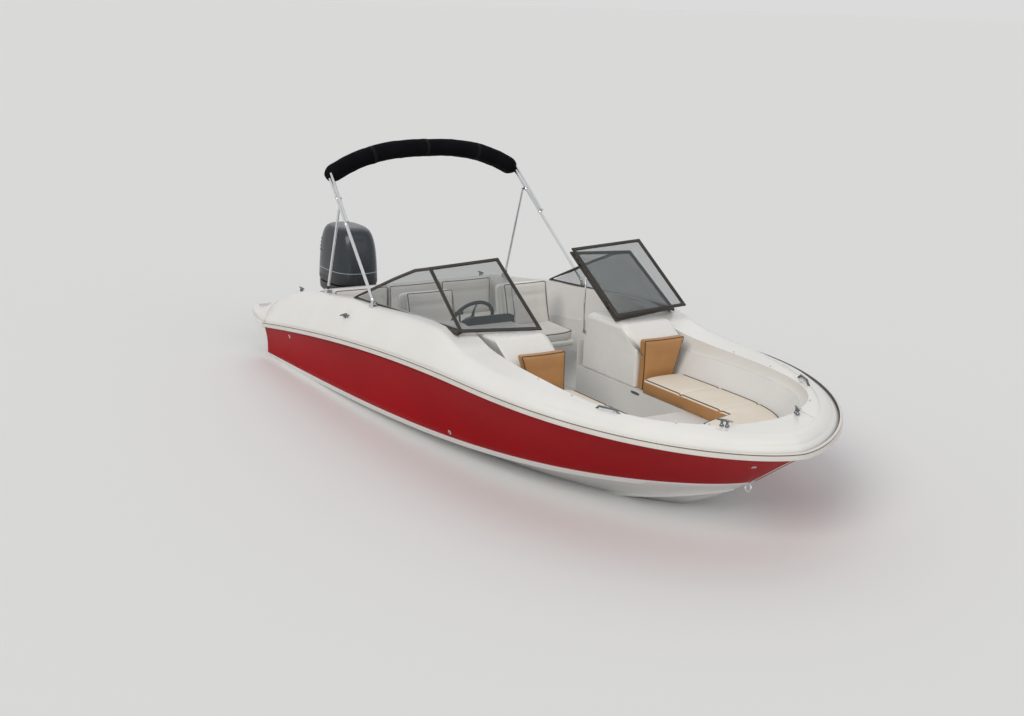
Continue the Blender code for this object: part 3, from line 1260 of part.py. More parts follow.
THROTTLE_X = 0.02
THROTTLE_Y = HELM_Y - 0.235
combine(dash, [slab("box", (0.10, THROTTLE_Y - 0.03, 0.80),
                    (CONSOLE_AFT_X - GAP, THROTTLE_Y + 0.06, 0.92)),
               sweep("lever", [(0.12, THROTTLE_Y, 0.90), (0.09, THROTTLE_Y, 1.02)], 0.008, 8),
               sweep("grip", [(0.09, THROTTLE_Y - 0.03, 1.02), (0.09, THROTTLE_Y + 0.03, 1.02)],
                     0.014, 8)])

CLEAT_LONG = 0.11
CLEAT_HIGH = 0.035
CLEATS = (("bow", 2.62, 0.246 * HALF_BEAM, 0.5), ("stern", -2.45, COCKPIT_HALF + 0.01, 0.0))
GRAB_R = 0.008
GRAB_X = 2.11
GRAB_IN = 0.188
GRAB_POINTS = [(2.02, 0.195, -0.008), (2.06, 0.184, 0.028), (2.17, 0.185, 0.028), (2.21, 0.181, -0.008)]


def cleat(name, x, y, z, heading):
    c, s = math.cos(heading), math.sin(heading)
    along = Vector((c, s, 0))
    base = Vector((x, y, z))
    top = base + Vector((0, 0, CLEAT_HIGH))
    horn = sweep("horn", [top - along * 0.5 * CLEAT_LONG, top - along * 0.2 * CLEAT_LONG,
                          top + along * 0.2 * CLEAT_LONG, top + along * 0.5 * CLEAT_LONG],
                 [0.005, 0.008, 0.008, 0.005], 8)
    feet = [turned("foot", base + along * d * CLEAT_LONG - Vector((0, 0, 0.012)), (0, 0, 1),
                   [(0, 0.014), (0.014, 0.013), (0.012 + CLEAT_HIGH, 0.007)], 10)
            for d in (-0.16, 0.16)]
    made = part(name, horn, "steel", join=feet)
    combine(made, [raised_copy(deck, GAP)], "DIFFERENCE")


def deck_top(x, y):
    """Height of the deck moulding straight below a point."""
    hit, place, _, _ = deck.ray_cast(Vector((x, y, SPACE_TOP_Z)), Vector((0, 0, -1)))
    return place.z


for side, name in ((1, "port"), (-1, "stbd")):
    for spot, x, y, heading in CLEATS:
        y = min(y, sheer_y(x) * 0.86)
        cleat(f"cleat_{spot}_{name}", x, side * y, deck_top(x, side * y), -side * heading)
    z = deck_top(GRAB_X, side * (sheer_y(GRAB_X) - GRAB_IN))
    pts = [Vector((x, side * (sheer_y(x) - in_from_edge), z + up)) for x, in_from_edge, up in GRAB_POINTS]
    handle = part(f"grab_handle_{name}", sweep("grab", pts, GRAB_R, 8), "steel")
    combine(handle, [raised_copy(deck, GAP)], "DIFFERENCE")

EYE_Z = 0.33
EYE_RING_R = 0.028
EYE_BAR_R = 0.006
EYE_DROP = 0.01
SHANK_R = 0.009
SHANK_IN = 0.02
SHANK_OUT = 0.012
eye_up = ((EYE_Z + KEEL_DRAFT) / (STEM_TOP_Z + KEEL_DRAFT)) ** (1 / STEM_POWER_SHARE)
eye_x = KEEL_RISE_X + (STEM_X - KEEL_RISE_X) * eye_up
ring = torus(Vector((eye_x + EYE_RING_R, 0, EYE_Z - EYE_DROP)), EYE_RING_R, EYE_BAR_R, (0, 1, 0), 18, 8)
shank = sweep("shank", [(eye_x - SHANK_IN, 0, EYE_Z + 0.5 * EYE_DROP),
                        (eye_x + SHANK_OUT, 0, EYE_Z - 0.6 * EYE_DROP)], SHANK_R, 8)
bow_eye = part("bow_eye", ring, "steel", join=[shank])
combine(bow_eye, [swollen_copy(hull, 2 * GAP)], "DIFFERENCE")
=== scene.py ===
import math

import bmesh
import bpy
from mathutils import Matrix, Vector


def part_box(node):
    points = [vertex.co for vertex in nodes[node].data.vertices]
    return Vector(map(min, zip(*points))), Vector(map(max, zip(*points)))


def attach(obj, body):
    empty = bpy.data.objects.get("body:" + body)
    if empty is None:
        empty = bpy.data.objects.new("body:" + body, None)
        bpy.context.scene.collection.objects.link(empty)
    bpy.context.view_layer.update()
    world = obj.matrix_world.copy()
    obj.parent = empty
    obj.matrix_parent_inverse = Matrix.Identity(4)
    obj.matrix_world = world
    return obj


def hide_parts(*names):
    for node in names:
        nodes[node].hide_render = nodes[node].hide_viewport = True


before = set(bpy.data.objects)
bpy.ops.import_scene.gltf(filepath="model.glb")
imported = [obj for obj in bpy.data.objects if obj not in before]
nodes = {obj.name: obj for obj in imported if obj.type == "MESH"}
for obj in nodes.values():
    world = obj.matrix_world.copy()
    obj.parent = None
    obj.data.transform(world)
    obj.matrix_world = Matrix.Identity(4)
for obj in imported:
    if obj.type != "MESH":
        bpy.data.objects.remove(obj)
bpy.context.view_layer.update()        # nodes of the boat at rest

# Studio: a pale floor at the waterline, a pale surround and three soft lamps.
# The camera stands off the starboard bow, a little above the windshield, as the photograph's does.
CAMERA_PLACE = Vector((8.8252, -5.7520, 3.3225))
CAMERA_YAW = 2.5817
CAMERA_PITCH = -0.2564
CAMERA_ROLL = 0.0319
CAMERA_LENS_MM = 48.566
SENSOR_MM = 36.0
FLOOR_REACH = 400.0
FLOOR_COLOUR = (0.80, 0.81, 0.82, 1.0)
BACKGROUND_COLOUR = (0.708, 0.708, 0.706, 1.0)
FILL_STRENGTH = 0.45
# name, azimuth and height in degrees, strength, spread in degrees, colour
LAMPS = [("key", -62, 38, 1.35, 30, (1.0, 0.955, 0.89)), ("front", 10, 30, 0.45, 60, (1.0, 0.98, 0.95)),
         ("back", 150, 45, 0.35, 60, (0.93, 0.96, 1.0))]


def heading(yaw, pitch):
    """Unit direction at a yaw and a pitch."""
    return Vector((math.cos(yaw) * math.cos(pitch), math.sin(yaw) * math.cos(pitch), math.sin(pitch)))


def make_camera():
    data = bpy.data.cameras.new("camera")
    data.sensor_width = SENSOR_MM
    data.lens = CAMERA_LENS_MM
    data.clip_end = 4 * FLOOR_REACH
    camera = bpy.data.objects.new("camera", data)
    forward = heading(CAMERA_YAW, CAMERA_PITCH)
    level = forward.cross(Vector((0, 0, 1))).normalized()
    right = math.cos(CAMERA_ROLL) * level + math.sin(CAMERA_ROLL) * level.cross(forward)
    turn = Matrix((right, right.cross(forward), -forward)).transposed()
    camera.matrix_world = Matrix.Translation(CAMERA_PLACE) @ turn.to_4x4()
    bpy.context.scene.collection.objects.link(camera)
    bpy.context.scene.camera = camera


def make_lamp(name, azimuth_deg, height_deg, strength, spread_deg, colour):
    """A wide soft light from one side, even over the whole floor."""
    data = bpy.data.lights.new(name, "SUN")
    data.energy = strength
    data.angle = math.radians(spread_deg)
    data.color = colour
    lamp = bpy.data.objects.new(name, data)
    away = heading(math.radians(azimuth_deg), math.radians(height_deg))
    lamp.rotation_euler = away.to_track_quat("Z", "Y").to_euler()
    bpy.context.scene.collection.objects.link(lamp)


def node(tree, kind, **values):
    """A shader node with some of its inputs set; an underscore stands for a space."""
    made = tree.nodes.new(f"ShaderNode{kind}")
    for name, value in values.items():
        made.inputs[name.replace("_", " ")].default_value = value
    return made


def make_world():
    """Even fill light, and a pale surround for what the camera, gloss and glass see."""
    world = bpy.data.worlds.new("studio")
    bpy.context.scene.world = world
    world.use_nodes = True
    tree, link = world.node_tree, world.node_tree.links.new
    tree.nodes.clear()
    path = node(tree, "LightPath")
    seen, seen_too = node(tree, "Math"), node(tree, "Math")
    seen.operation = seen_too.operation = "MAXIMUM"
    link(path.outputs["Is Camera Ray"], seen.inputs[0])
    link(path.outputs["Is Glossy Ray"], seen.inputs[1])
    link(seen.outputs[0], seen_too.inputs[0])
    link(path.outputs["Is Transmission Ray"], seen_too.inputs[1])
    light = node(tree, "Background", Color=(1.0, 1.0, 1.0, 1.0), Strength=FILL_STRENGTH)
    shown = node(tree, "Background", Color=BACKGROUND_COLOUR, Strength=1.0)
    mix, out = node(tree, "MixShader"), node(tree, "OutputWorld")
    link(seen_too.outputs[0], mix.inputs["Fac"])
    link(light.outputs[0], mix.inputs[1])
    link(shown.outputs[0], mix.inputs[2])
    link(mix.outputs[0], out.inputs["Surface"])


def make_floor():
    bm = bmesh.new()
    bmesh.ops.create_grid(bm, x_segments=1, y_segments=1, size=FLOOR_REACH)
    mesh = bpy.data.meshes.new("floor")
    bm.to_mesh(mesh)
    bm.free()
    floor = bpy.data.objects.new("floor", mesh)
    bpy.context.scene.collection.objects.link(floor)
    plain = bpy.data.materials.new("floor")
    plain.use_nodes = True
    shader = plain.node_tree.nodes["Principled BSDF"]
    shader.inputs["Base Color"].default_value = FLOOR_COLOUR
    shader.inputs["Roughness"].default_value = 0.9
    shader.inputs["Specular IOR Level"].default_value = 0.1
    mesh.materials.append(plain)


make_camera()
make_world()
make_floor()
for lamp in LAMPS:
    make_lamp(*lamp)
bpy.context.scene.view_settings.view_transform = "Standard"


# Hull: glass-fibre moulding, deep red topsides over a white bottom with two spray strakes a side.
# It is laid up in one mould from keel to sheer, its colours sprayed into the mould first.
TRANSOM_X = -2.894
STEM_X = 3.005
HALF_BEAM = 1.22
BEAM_X = 0.831
KEEL_DRAFT = 0.37
KEEL_RISE_X = 0.2
KEEL_STEM_X = 2.30
STEM_TOP_Z = 0.674
STEM_HALF = 0.014
SHEER_AFT_Z = 0.319
SHEER_RISE = 0.355
CHINE_AFT = (1.02, -0.026)
CHINE_STEM_X = 2.50
CHINE_FLAT_SHARE = 0.0686
PAINT_AFT = (1.081, 0.054)
PAINT_STEM_X = 2.58
SHEER_SHARES = (2.890, -1.068, -0.822)
LINE_RISE_SHARES = (0.42, 0.35, 0.23)
STRAKE_SHARES = (0.40, 0.455, 0.475)
STRAKE_TURN = 0.004
FLARE_HOLLOW = 0.012
FLARE_ROWS = 9
SMOOTH_STATIONS = 96
HULL_SKIN = 0.002
LAMINATE = 0.0015
# kept between mouldings that rest on one another
SEAM_GAP = 0.0003
SIDES = ((1, "port"), (-1, "stbd"))
RED = (0.35, 0.0008, 0.0050)
RED_DEEP = (0.29, 0.0007, 0.0042)
WHITE = (0.80, 0.80, 0.785)
WHITE_WARM = (0.76, 0.755, 0.735)


def finish(name, colour, other, rough, metal=0.0, scale=3.0, spread=0.06, bump=0.0,
           bump_scale=300.0, coat=0.0, gleam=0.5):
    """A surface whose colour, gloss and grain vary with soft noise over the piece."""
    made = bpy.data.materials.new(name)
    made.use_nodes = True
    tree, link = made.node_tree, made.node_tree.links.new
    shader = tree.nodes["Principled BSDF"]
    place = node(tree, "TexCoord").outputs["Object"]
    cloud = node(tree, "TexNoise", Scale=scale, Detail=6.0)
    link(place, cloud.inputs["Vector"])
    ramp = node(tree, "ValToRGB")
    for stop, position, tone in zip(ramp.color_ramp.elements, (0.35, 0.75), (colour, other)):
        stop.position, stop.color = position, (*tone, 1.0)
    link(cloud.outputs["Fac"], ramp.inputs["Fac"])
    link(ramp.outputs["Color"], shader.inputs["Base Color"])
    gloss = node(tree, "MapRange", To_Min=max(rough - spread, 0.02), To_Max=rough + spread)
    link(cloud.outputs["Fac"], gloss.inputs["Value"])
    link(gloss.outputs["Result"], shader.inputs["Roughness"])
    shader.inputs["Metallic"].default_value = metal
    shader.inputs["Coat Weight"].default_value = coat
    shader.inputs["Coat Roughness"].default_value = 0.05
    shader.inputs["Specular IOR Level"].default_value = gleam
    if bump:
        grain = node(tree, "TexNoise", Scale=bump_scale, Detail=3.0)
        link(place, grain.inputs["Vector"])
        relief = node(tree, "Bump", Strength=1.0, Distance=bump)
        link(grain.outputs["Fac"], relief.inputs["Height"])
        link(relief.outputs["Normal"], shader.inputs["Normal"])
    return made


def piece_from(name, bm, materials, body="root", sharp_deg=35.0, slot=None):
    """Link a bmesh as a piece that rides on a body, shaded smooth but for its sharp edges."""
    bmesh.ops.recalc_face_normals(bm, faces=bm.faces[:])
    mesh = bpy.data.meshes.new(name)
    bm.to_mesh(mesh)
    bm.free()
    for finish_of in materials:
        mesh.materials.append(finish_of)
    mesh.shade_smooth()
    mesh.set_sharp_from_angle(angle=math.radians(sharp_deg))
    piece = bpy.data.objects.new(name, mesh)
    bpy.context.scene.collection.objects.link(piece)
    if body:
        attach(piece, body)
    return piece


def loft_into(bm, rings, closed=True, caps=True, looped=False, index=0, columns=None):
    """Faces through rings of points of equal count, all of one material or each column its own."""
    rows = [[bm.verts.new(p) for p in ring] for ring in rings]
    count = len(rows[0])
    for low, high in zip(rows, rows[1:] + rows[:1] if looped else rows[1:]):
        for i in range(count if closed else count - 1):
            j = (i + 1) % count
            face = bm.faces.new((low[i], low[j], high[j], high[i]))
            face.material_index = columns[i] if columns else index
    if closed and caps and not looped:
        for ring in (rows[0][::-1], rows[-1]):
            bm.faces.new(ring).material_index = index


def lofted(name, rings, materials, body="root", sharp_deg=35.0, slot=None, **how):
    """A piece made of one loft."""
    bm = bmesh.new()
    loft_into(bm, rings, **how)
    return piece_from(name, bm, materials, body, sharp_deg, slot)


def angles(count, start=0.0):
    """Even steps round a circle."""
    return [math.tau * (k + start) / count for k in range(count)]


def mirrored(ring):
    """A side's points back again on the other side."""
    return [(x, -y, z) for x, y, z in ring[::-1]]


def run_x(share, end_x=STEM_X):
    """Place along the boat at a share of the way from the transom to an end."""
    return TRANSOM_X + share * (end_x - TRANSOM_X)


def sheer_z(x):
    u = (x - TRANSOM_X) / (STEM_X - TRANSOM_X)
    return SHEER_AFT_Z + SHEER_RISE * sum(c * u ** (k + 1) for k, c in enumerate(SHEER_SHARES))


def sheer_y(x):
    if x < BEAM_X:
        return HALF_BEAM * (1 - 0.086 * ((BEAM_X - x) / (BEAM_X - TRANSOM_X)) ** 2)
    along = min((x - BEAM_X) / (STEM_X - BEAM_X), 1.0)
    return HALF_BEAM * (1 - along ** 2.62) ** (1 / 1.582)


def stem_z(x):
    along = max(x - KEEL_RISE_X, 0.0) / (STEM_X - KEEL_RISE_X)
    return -KEEL_DRAFT + (STEM_TOP_Z + KEEL_DRAFT) * along ** 2.1


def rising_line(s, end_x, aft_y, aft_z):
    """A chine or paint line at share s of its run to the stem."""
    y = STEM_HALF + (aft_y - STEM_HALF) * (1 - s ** 4.7) ** 0.655
    rise = sum(c * s ** (k + 1) for k, c in enumerate(LINE_RISE_SHARES))
    return Vector((run_x(s, end_x), y, aft_z + (stem_z(end_x) - aft_z) * rise))


def half_section(s):
    """Port half from keel to sheer; the rows past the paint line are topsides."""
    keel_x = run_x(s, KEEL_STEM_X)
    keel = Vector((keel_x, STEM_HALF, stem_z(keel_x)))
    chine = rising_line(s, CHINE_STEM_X, *CHINE_AFT)
    inner = chine.copy()
    inner.y = STEM_HALF + (chine.y - STEM_HALF) * (1 - CHINE_FLAT_SHARE)
    paint = rising_line(s, PAINT_STEM_X, *PAINT_AFT)
    x = run_x(s)
    sheer = Vector((x, max(sheer_y(x), STEM_HALF), sheer_z(x)))
    strakes = [keel.lerp(inner, share) for share in STRAKE_SHARES]
    strakes[1].z = strakes[0].z - STRAKE_TURN * (1 - s)
    sides = []
    for k in range(1, FLARE_ROWS):
        share = k / FLARE_ROWS
        point = paint.lerp(sheer, share)
        point.y = max(point.y - FLARE_HOLLOW * math.sin(math.pi * share), STEM_HALF)
        sides.append(point)
    return [keel, *strakes, inner, chine, paint, *sides, sheer]


def stations(count):
    """Shares of the boat's length, closer together at both ends."""
    return [0.5 - 0.5 * math.cos(math.pi * k / count) for k in range(count + 1)]


def hull_skin():
    """Outer skin with its real thickness, both sides joined along the keel."""
    rings = []
    for s in stations(SMOOTH_STATIONS):
        stbd = mirrored(half_section(s))[::-1]
        rings.append(mirrored(stbd) + stbd)
    bm = bmesh.new()
    sides = [0] * FLARE_ROWS
    bottom = [1] * (len(rings[0]) - 1 - 2 * FLARE_ROWS)
    loft_into(bm, rings, closed=False, columns=sides + bottom + sides)
    bmesh.ops.recalc_face_normals(bm, faces=bm.faces[:])
    middle = sum((f.normal.y * f.calc_center_median().y for f in bm.faces), 0.0)
    if middle < 0:
        bmesh.ops.reverse_faces(bm, faces=bm.faces[:])
    bm.normal_update()
    for vert in bm.verts:
        vert.co += vert.normal * HULL_SKIN
    return bm


red_gelcoat = finish("red_gelcoat", RED, RED_DEEP, 0.16, spread=0.04, scale=1.3, gleam=0.022)
white_gelcoat = finish("white_gelcoat", WHITE, WHITE_WARM, 0.24, spread=0.06, scale=2.2, gleam=0.4)
skin = piece_from("hull_skin", hull_skin(), [red_gelcoat, white_gelcoat], slot="hull_gelcoat")
shell = skin.modifiers.new("laminate", "SOLIDIFY")
shell.thickness = LAMINATE
shell.offset = -1.0
nodes["hull"].data.materials.clear()
nodes["hull"].data.materials.append(white_gelcoat)


# Deck: one white moulding from the rail to the cockpit openings, its gunwales rolled over,
# with a shallow panel let into the foredeck. It is bonded to the hull along the sheer.
COCKPIT_AFT_X = -2.15
COCKPIT_FORE_X = 0.12
COCKPIT_FLOOR_HALF = 0.78
COCKPIT_KNEE_HALF = 0.90
COCKPIT_KNEE_Z = 0.35
COCKPIT_HALF = 0.92
COCKPIT_CORNER = 0.09
COCKPIT_CORNER_STEPS = 6
AISLE_HALF = 0.33
AISLE_FORE_X = 1.5
BOW_SHELF_Z = 0.50
BOW_SLOPE_Z = 0.76
BOW_AFT_HALF = 0.80
BOW_HALF = 0.832
BOW_WIDEST_X = 1.5
BOW_WELL_LENGTH = 1.14
BOW_SHELF_SHARES = (0.83, 0.80)
SOLE_Z = 0.08
SOLE_THICK = 0.025
LINER_WALL = 0.012
SPACE_TOP_Z = 1.3
WELL_FORE_X = -2.30
WELL_AFT_X = -2.80
WELL_HALF = 0.46
CROWN_Z = 0.975
CROWN_SHARES = [
    # along the length, crown height as a share of the highest
    (0.000, 0.555), (0.030, 0.620), (0.072, 0.708), (0.110, 0.765), (0.160, 0.805),
    (0.220, 0.850), (0.288, 0.903), (0.350, 0.925), (0.427, 0.965), (0.510, 0.998),
    (0.557, 1.000), (0.590, 0.950), (0.622, 0.902), (0.680, 0.872), (0.745, 0.860),
    (0.810, 0.850), (0.850, 0.842), (0.885, 0.835), (0.915, 0.828), (0.940, 0.822),
    (0.960, 0.817), (0.976, 0.812), (0.988, 0.808), (0.996, 0.805), (1.000, 0.804)]
# inset from the sheer at the side, inset at the bow, share of the way up
GUNWALE_LINES = [(0.0, 0.0, 0.0), (0.006, 0.006, 0.10), (0.045, 0.022, 0.42),
                 (0.115, 0.060, 0.80), (0.165, 0.105, 0.96), (0.20, 0.15, 1.0)]
GUNWALE_STEPS = 3
# place along the boat, half width
FORE_PANEL = [(2.465, 0.40), (2.74, 0.36), (2.82, 0.27), (2.862, 0.15), (2.865, 0.0)]
FORE_PANEL_DEEP = 0.012
EDGE_ROUND = 0.012


def smoothed(points, steps):
    """A smooth chain through points, with steps spans between neighbours."""
    points = [Vector(p) for p in points]
    out = []
    for i in range(len(points) - 1):
        a, b = points[max(i - 1, 0)], points[i]
        c, d = points[i + 1], points[min(i + 2, len(points) - 1)]
        for k in range(steps):
            t = k / steps
            out.append(0.5 * (2 * b + (c - a) * t + (2 * a - 5 * b + 4 * c - d) * t * t
                              + (3 * b - a - 3 * c + d) * t ** 3))
    return out + [points[-1]]


crown_line = smoothed([(a, 0, z) for a, z in CROWN_SHARES], 4)


def crown_height(x):
    along = min(max((x - TRANSOM_X) / (STEM_X - TRANSOM_X), 0.0), 1.0)
    for low, high in zip(crown_line, crown_line[1:]):
        if low.x <= along <= high.x:
            share = (along - low.x) / max(high.x - low.x, 1e-9)
            return CROWN_Z * (low.z + (high.z - low.z) * share)
    return CROWN_Z * CROWN_SHARES[-1][1]


def bow_outline(x_share=1.0, y_share=1.0, inset=0.0, steps=24):
    """Plan of the bow cockpit, rounded towards the stem."""
    side = [(COCKPIT_FORE_X - LINER_WALL + inset, BOW_AFT_HALF * y_share - inset)]
    length = BOW_WELL_LENGTH * x_share - inset
    for k in range(steps):
        along = math.sin(0.5 * math.pi * k / steps)
        side.append((BOW_WIDEST_X + along * length,
                     (BOW_HALF * y_share - inset) * (1 - along ** 3.2) ** 0.5))
    return side + [(x, -y) for x, y in side[::-1]]


def cockpit_outline(half, inset):
    """Plan of the aft cockpit, its aft corners rounded."""
    aft, fore, side = COCKPIT_AFT_X + inset, COCKPIT_FORE_X - inset, half - inset
    r, steps = COCKPIT_CORNER, COCKPIT_CORNER_STEPS
    corner = [(aft + r * (1 - math.sin(a)), side - r * (1 - math.cos(a)))
              for a in (0.5 * math.pi * (1 - k / steps) for k in range(steps + 1))]
    return corner + [(fore, side), (fore, -side)] + [(x, -y) for x, y in corner[::-1]]


def box_rings(low, high):
    """Two rings of a box, for a loft."""
    return [[(low[0], low[1], z), (high[0], low[1], z), (high[0], high[1], z), (low[0], high[1], z)]
            for z in (low[2], high[2])]


def inner_rings(inset=0.0, lift=0.0):
    """Rings of the aft cockpit, the aisle and the bow cockpit."""
    floor = SOLE_Z - SOLE_THICK + lift
    layers = [(floor, COCKPIT_FLOOR_HALF), (COCKPIT_KNEE_Z, COCKPIT_KNEE_HALF),
              (COCKPIT_KNEE_Z + COCKPIT_CORNER, COCKPIT_HALF), (SPACE_TOP_Z, COCKPIT_HALF)]
    aft = [[(x, y, z) for x, y in cockpit_outline(half, inset)] for z, half in layers]
    aisle = box_rings((COCKPIT_FORE_X - 0.05, inset - AISLE_HALF, floor + 0.0002),
                      (AISLE_FORE_X - inset, AISLE_HALF - inset, SPACE_TOP_Z + 0.05))
    bow = [[(x, y, z) for x, y in outline] for z, outline in (
        (BOW_SHELF_Z - SOLE_THICK + lift, bow_outline(*BOW_SHELF_SHARES, inset)),
        (BOW_SLOPE_Z, bow_outline(inset=inset)), (SPACE_TOP_Z + SEAM_GAP, bow_outline(inset=inset)))]
    return [aft, aisle, bow]


def boolean(piece, rings_of, operation="DIFFERENCE"):
    """Cut or join lofted helper bodies, one at a time."""
    for rings in rings_of:
        bm = bmesh.new()
        loft_into(bm, rings)
        bmesh.ops.recalc_face_normals(bm, faces=bm.faces[:])
        mesh = bpy.data.meshes.new("tool")
        bm.to_mesh(mesh)
        bm.free()
        tool = bpy.data.objects.new("tool", mesh)
        bpy.context.scene.collection.objects.link(tool)
        cut = piece.modifiers.new("cut", "BOOLEAN")
        cut.operation = operation
        cut.object = tool
        bpy.context.view_layer.update()
        shaped = piece.evaluated_get(bpy.context.evaluated_depsgraph_get())
        done = bpy.data.meshes.new_from_object(shaped)
        piece.modifiers.clear()
        piece.data = done
        bpy.data.objects.remove(tool, do_unlink=True)
    return piece


def rounded(piece, width=EDGE_ROUND, segments=3, angle_deg=38.0, smooth_deg=50.0):
    """Roll the sharp edges of a moulding and shade it smooth."""
    roll = piece.modifiers.new("roll", "BEVEL")
    roll.width = width
    roll.segments = segments
    roll.limit_method = "ANGLE"
    roll.angle_limit = math.radians(angle_deg)
    roll.use_clamp_overlap = True
    roll.harden_normals = True
    piece.data.shade_smooth()
    piece.data.set_sharp_from_angle(angle=math.radians(smooth_deg))
    return piece


def gunwale_section(along, lines):
    """The deck's port side from sheer to crown, at a share of its length."""
    x = run_x(along)
    half = max(sheer_y(x), STEM_HALF)
    low, top = sheer_z(x) + SEAM_GAP, crown_height(x)
    return [(run_x(along, STEM_X - bow_in), half * (1 - side_in / HALF_BEAM), low + up * (top - low))
            for side_in, bow_in, up in lines]


def fore_panel():
    """Rings of the shallow panel sunk into the foredeck."""
    rings = []
    for lift, inset in ((-FORE_PANEL_DEEP, 0.014), (0.10, -0.02)):
        ring = [(x - inset, max(half - inset, 0.0)) for x, half in FORE_PANEL]
        outline = ring + [(x, -y) for x, y in ring[-2::-1]]
        rings.append([(x, y, crown_height(x) + lift) for x, y in outline])
    return rings


bm = bmesh.new()
gunwale_lines = smoothed(GUNWALE_LINES, GUNWALE_STEPS)
deck_sides = [gunwale_section(along, gunwale_lines) for along in stations(SMOOTH_STATIONS)]
loft_into(bm, [port + mirrored(port) for port in deck_sides])
bmesh.ops.triangulate(bm, faces=[f for f in bm.faces if len(f.verts) > 4])
deck = piece_from("deck_moulding", bm, [white_gelcoat], slot="gelcoat_white", body=None)
well_space = box_rings((TRANSOM_X - 0.05, -WELL_HALF, -0.05),
                       (WELL_FORE_X, WELL_HALF, SPACE_TOP_Z + 0.05))
boolean(deck, inner_rings() + [well_space, fore_panel()])
rounded(deck)
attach(deck, "root")
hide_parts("deck")

# Toe band: the foredeck's outer edge stands a few millimetres above the flat of the deck.
# It starts beside the bow cockpit, runs round the stem and fades out again on the other side.
BAND_FROM_X = 1.55
BAND_FADE = 0.35
BAND_LINES = (7, 13)
BAND_HIGH = 0.011
BAND_PROUD = 0.0006
BAND_UNDER = 0.004


def band_rings():
    """Sections of the band along one side and back along the other."""
    rings = []
    for along in stations(2 * SMOOTH_STATIONS):
        if run_x(along) < BAND_FROM_X:
            continue
        fade = min((run_x(along) - BAND_FROM_X) / BAND_FADE, 1.0)
        skin = [Vector(p) for p in gunwale_section(along, gunwale_lines[slice(*BAND_LINES)])]
        lifts = [BAND_PROUD] + [BAND_PROUD + (BAND_HIGH - BAND_PROUD) * fade] * (len(skin) - 1)
        over = [p + Vector((0, 0, lift)) for p, lift in zip(skin, lifts)]
        rings.append(over + [p - Vector((0, 0, BAND_UNDER)) for p in skin[::-1]])
    return rings + [[(x, -y, z) for x, y, z in ring] for ring in rings[::-1]]


band = lofted("toe_band", band_rings(), [white_gelcoat], slot="gelcoat_white")
rounded(band, 0.002, 3, 30)

# Rub rail: a pale strip over the joint of hull and deck, a dark groove above it, a dark lip below.
# It is screwed on from the stern round the bow in one length.
RAIL_BACK = 0.0028
RAIL_OUT = 0.022
RAIL_HALF_HIGH = 0.025
RAIL_STATIONS = 140
RAIL_STEP = 0.0005
# spans of the section that belong to the pale strip
RAIL_PALE = (3, 4, 5, 6, 8, 9)
# out from the sheer, up from it, both as shares of the rail
RAIL_SHARES = [(0.0, -1.0), (0.45, -0.95), (0.74, -0.84), (0.76, -0.78), (0.93, -0.74), (1.0, -0.12),
               (0.93, 0.42), (0.74, 0.46), (0.74, 0.72), (0.50, 0.95), (0.0, 1.0)]
rail_pale = finish("rail_pale", (0.72, 0.69, 0.65), (0.65, 0.62, 0.58), 0.30, metal=0.15, spread=0.08,
                   scale=7.0)
rail_grey = finish("rail_grey", (0.115, 0.105, 0.095), (0.15, 0.14, 0.13), 0.45, bump=0.0002)
bright_steel = finish("bright_steel", (0.72, 0.73, 0.75), (0.62, 0.63, 0.65), 0.14, metal=1.0,
                      scale=9.0, spread=0.05)


def rail_rings():
    """Sections of the rail, square to the sheer line."""
    rings = []
    for s in stations(RAIL_STATIONS)[:-1]:
        x = run_x(s)
        step = RAIL_STEP * (STEM_X - TRANSOM_X)
        point = Vector((x, max(sheer_y(x), STEM_HALF), sheer_z(x)))
        back = Vector((-step, sheer_y(x - step) - sheer_y(x), 0))
        out = Vector((back.y, -back.x, 0)).normalized()
        out = -out if out.y < 0 else out
        rings.append((point, out))
    stem = (Vector((STEM_X, 0, sheer_z(STEM_X))), Vector((1, 0, 0)))
    stbd = [(Vector((p.x, -p.y, p.z)), Vector((o.x, -o.y, 0))) for p, o in rings[::-1]]
    up = Vector((0, 0, 1))
    return [[p + o * (RAIL_BACK + RAIL_OUT * a) + up * (RAIL_HALF_HIGH * b) for a, b in RAIL_SHARES]
            for p, o in rings + [stem] + stbd]


rail = lofted("rail_strip", rail_rings(), [rail_grey, rail_pale], slot="rail_black",
              columns=[int(i in RAIL_PALE) for i in range(len(RAIL_SHARES))])
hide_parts("rub_rail")


# Cockpit liner: one moulding with the sole, the side pockets and the bow shelf, in white gelcoat
# painted pale grey as shade inside the cockpit.
# Its sole carries a fine moulded grain so that wet feet hold; it is bonded down to the hull.
SOLE_GRAIN_HIGH = 0.004
# pale grey below the deck's white: painted shade on the white liner inside the cockpit
liner_shaded_gelcoat = finish("liner_shaded_gelcoat", (0.74, 0.74, 0.73), (0.69, 0.69, 0.685), 0.32, spread=0.07,
                       scale=2.0, gleam=0.4)
non_skid = finish("non_skid", (0.62, 0.62, 0.615), (0.55, 0.55, 0.55), 0.66, bump=0.0009,
                  bump_scale=340.0, spread=0.08)


def hull_rings(drop):
    """Sections of the hull's inside, lowered a little."""
    rings = []
    for s in stations(SMOOTH_STATIONS // 2):
        port = [(p.x, p.y, p.z - drop) for p in half_section(s)]
        rings.append(port + mirrored(port))
    return rings


def fine_top(piece, low_z, high_z, index):
    """Give the level faces between two heights another of the piece's materials."""
    for face in piece.data.polygons:
        if face.normal.z > 0.9 and low_z < face.center.z < high_z:
            face.material_index = index


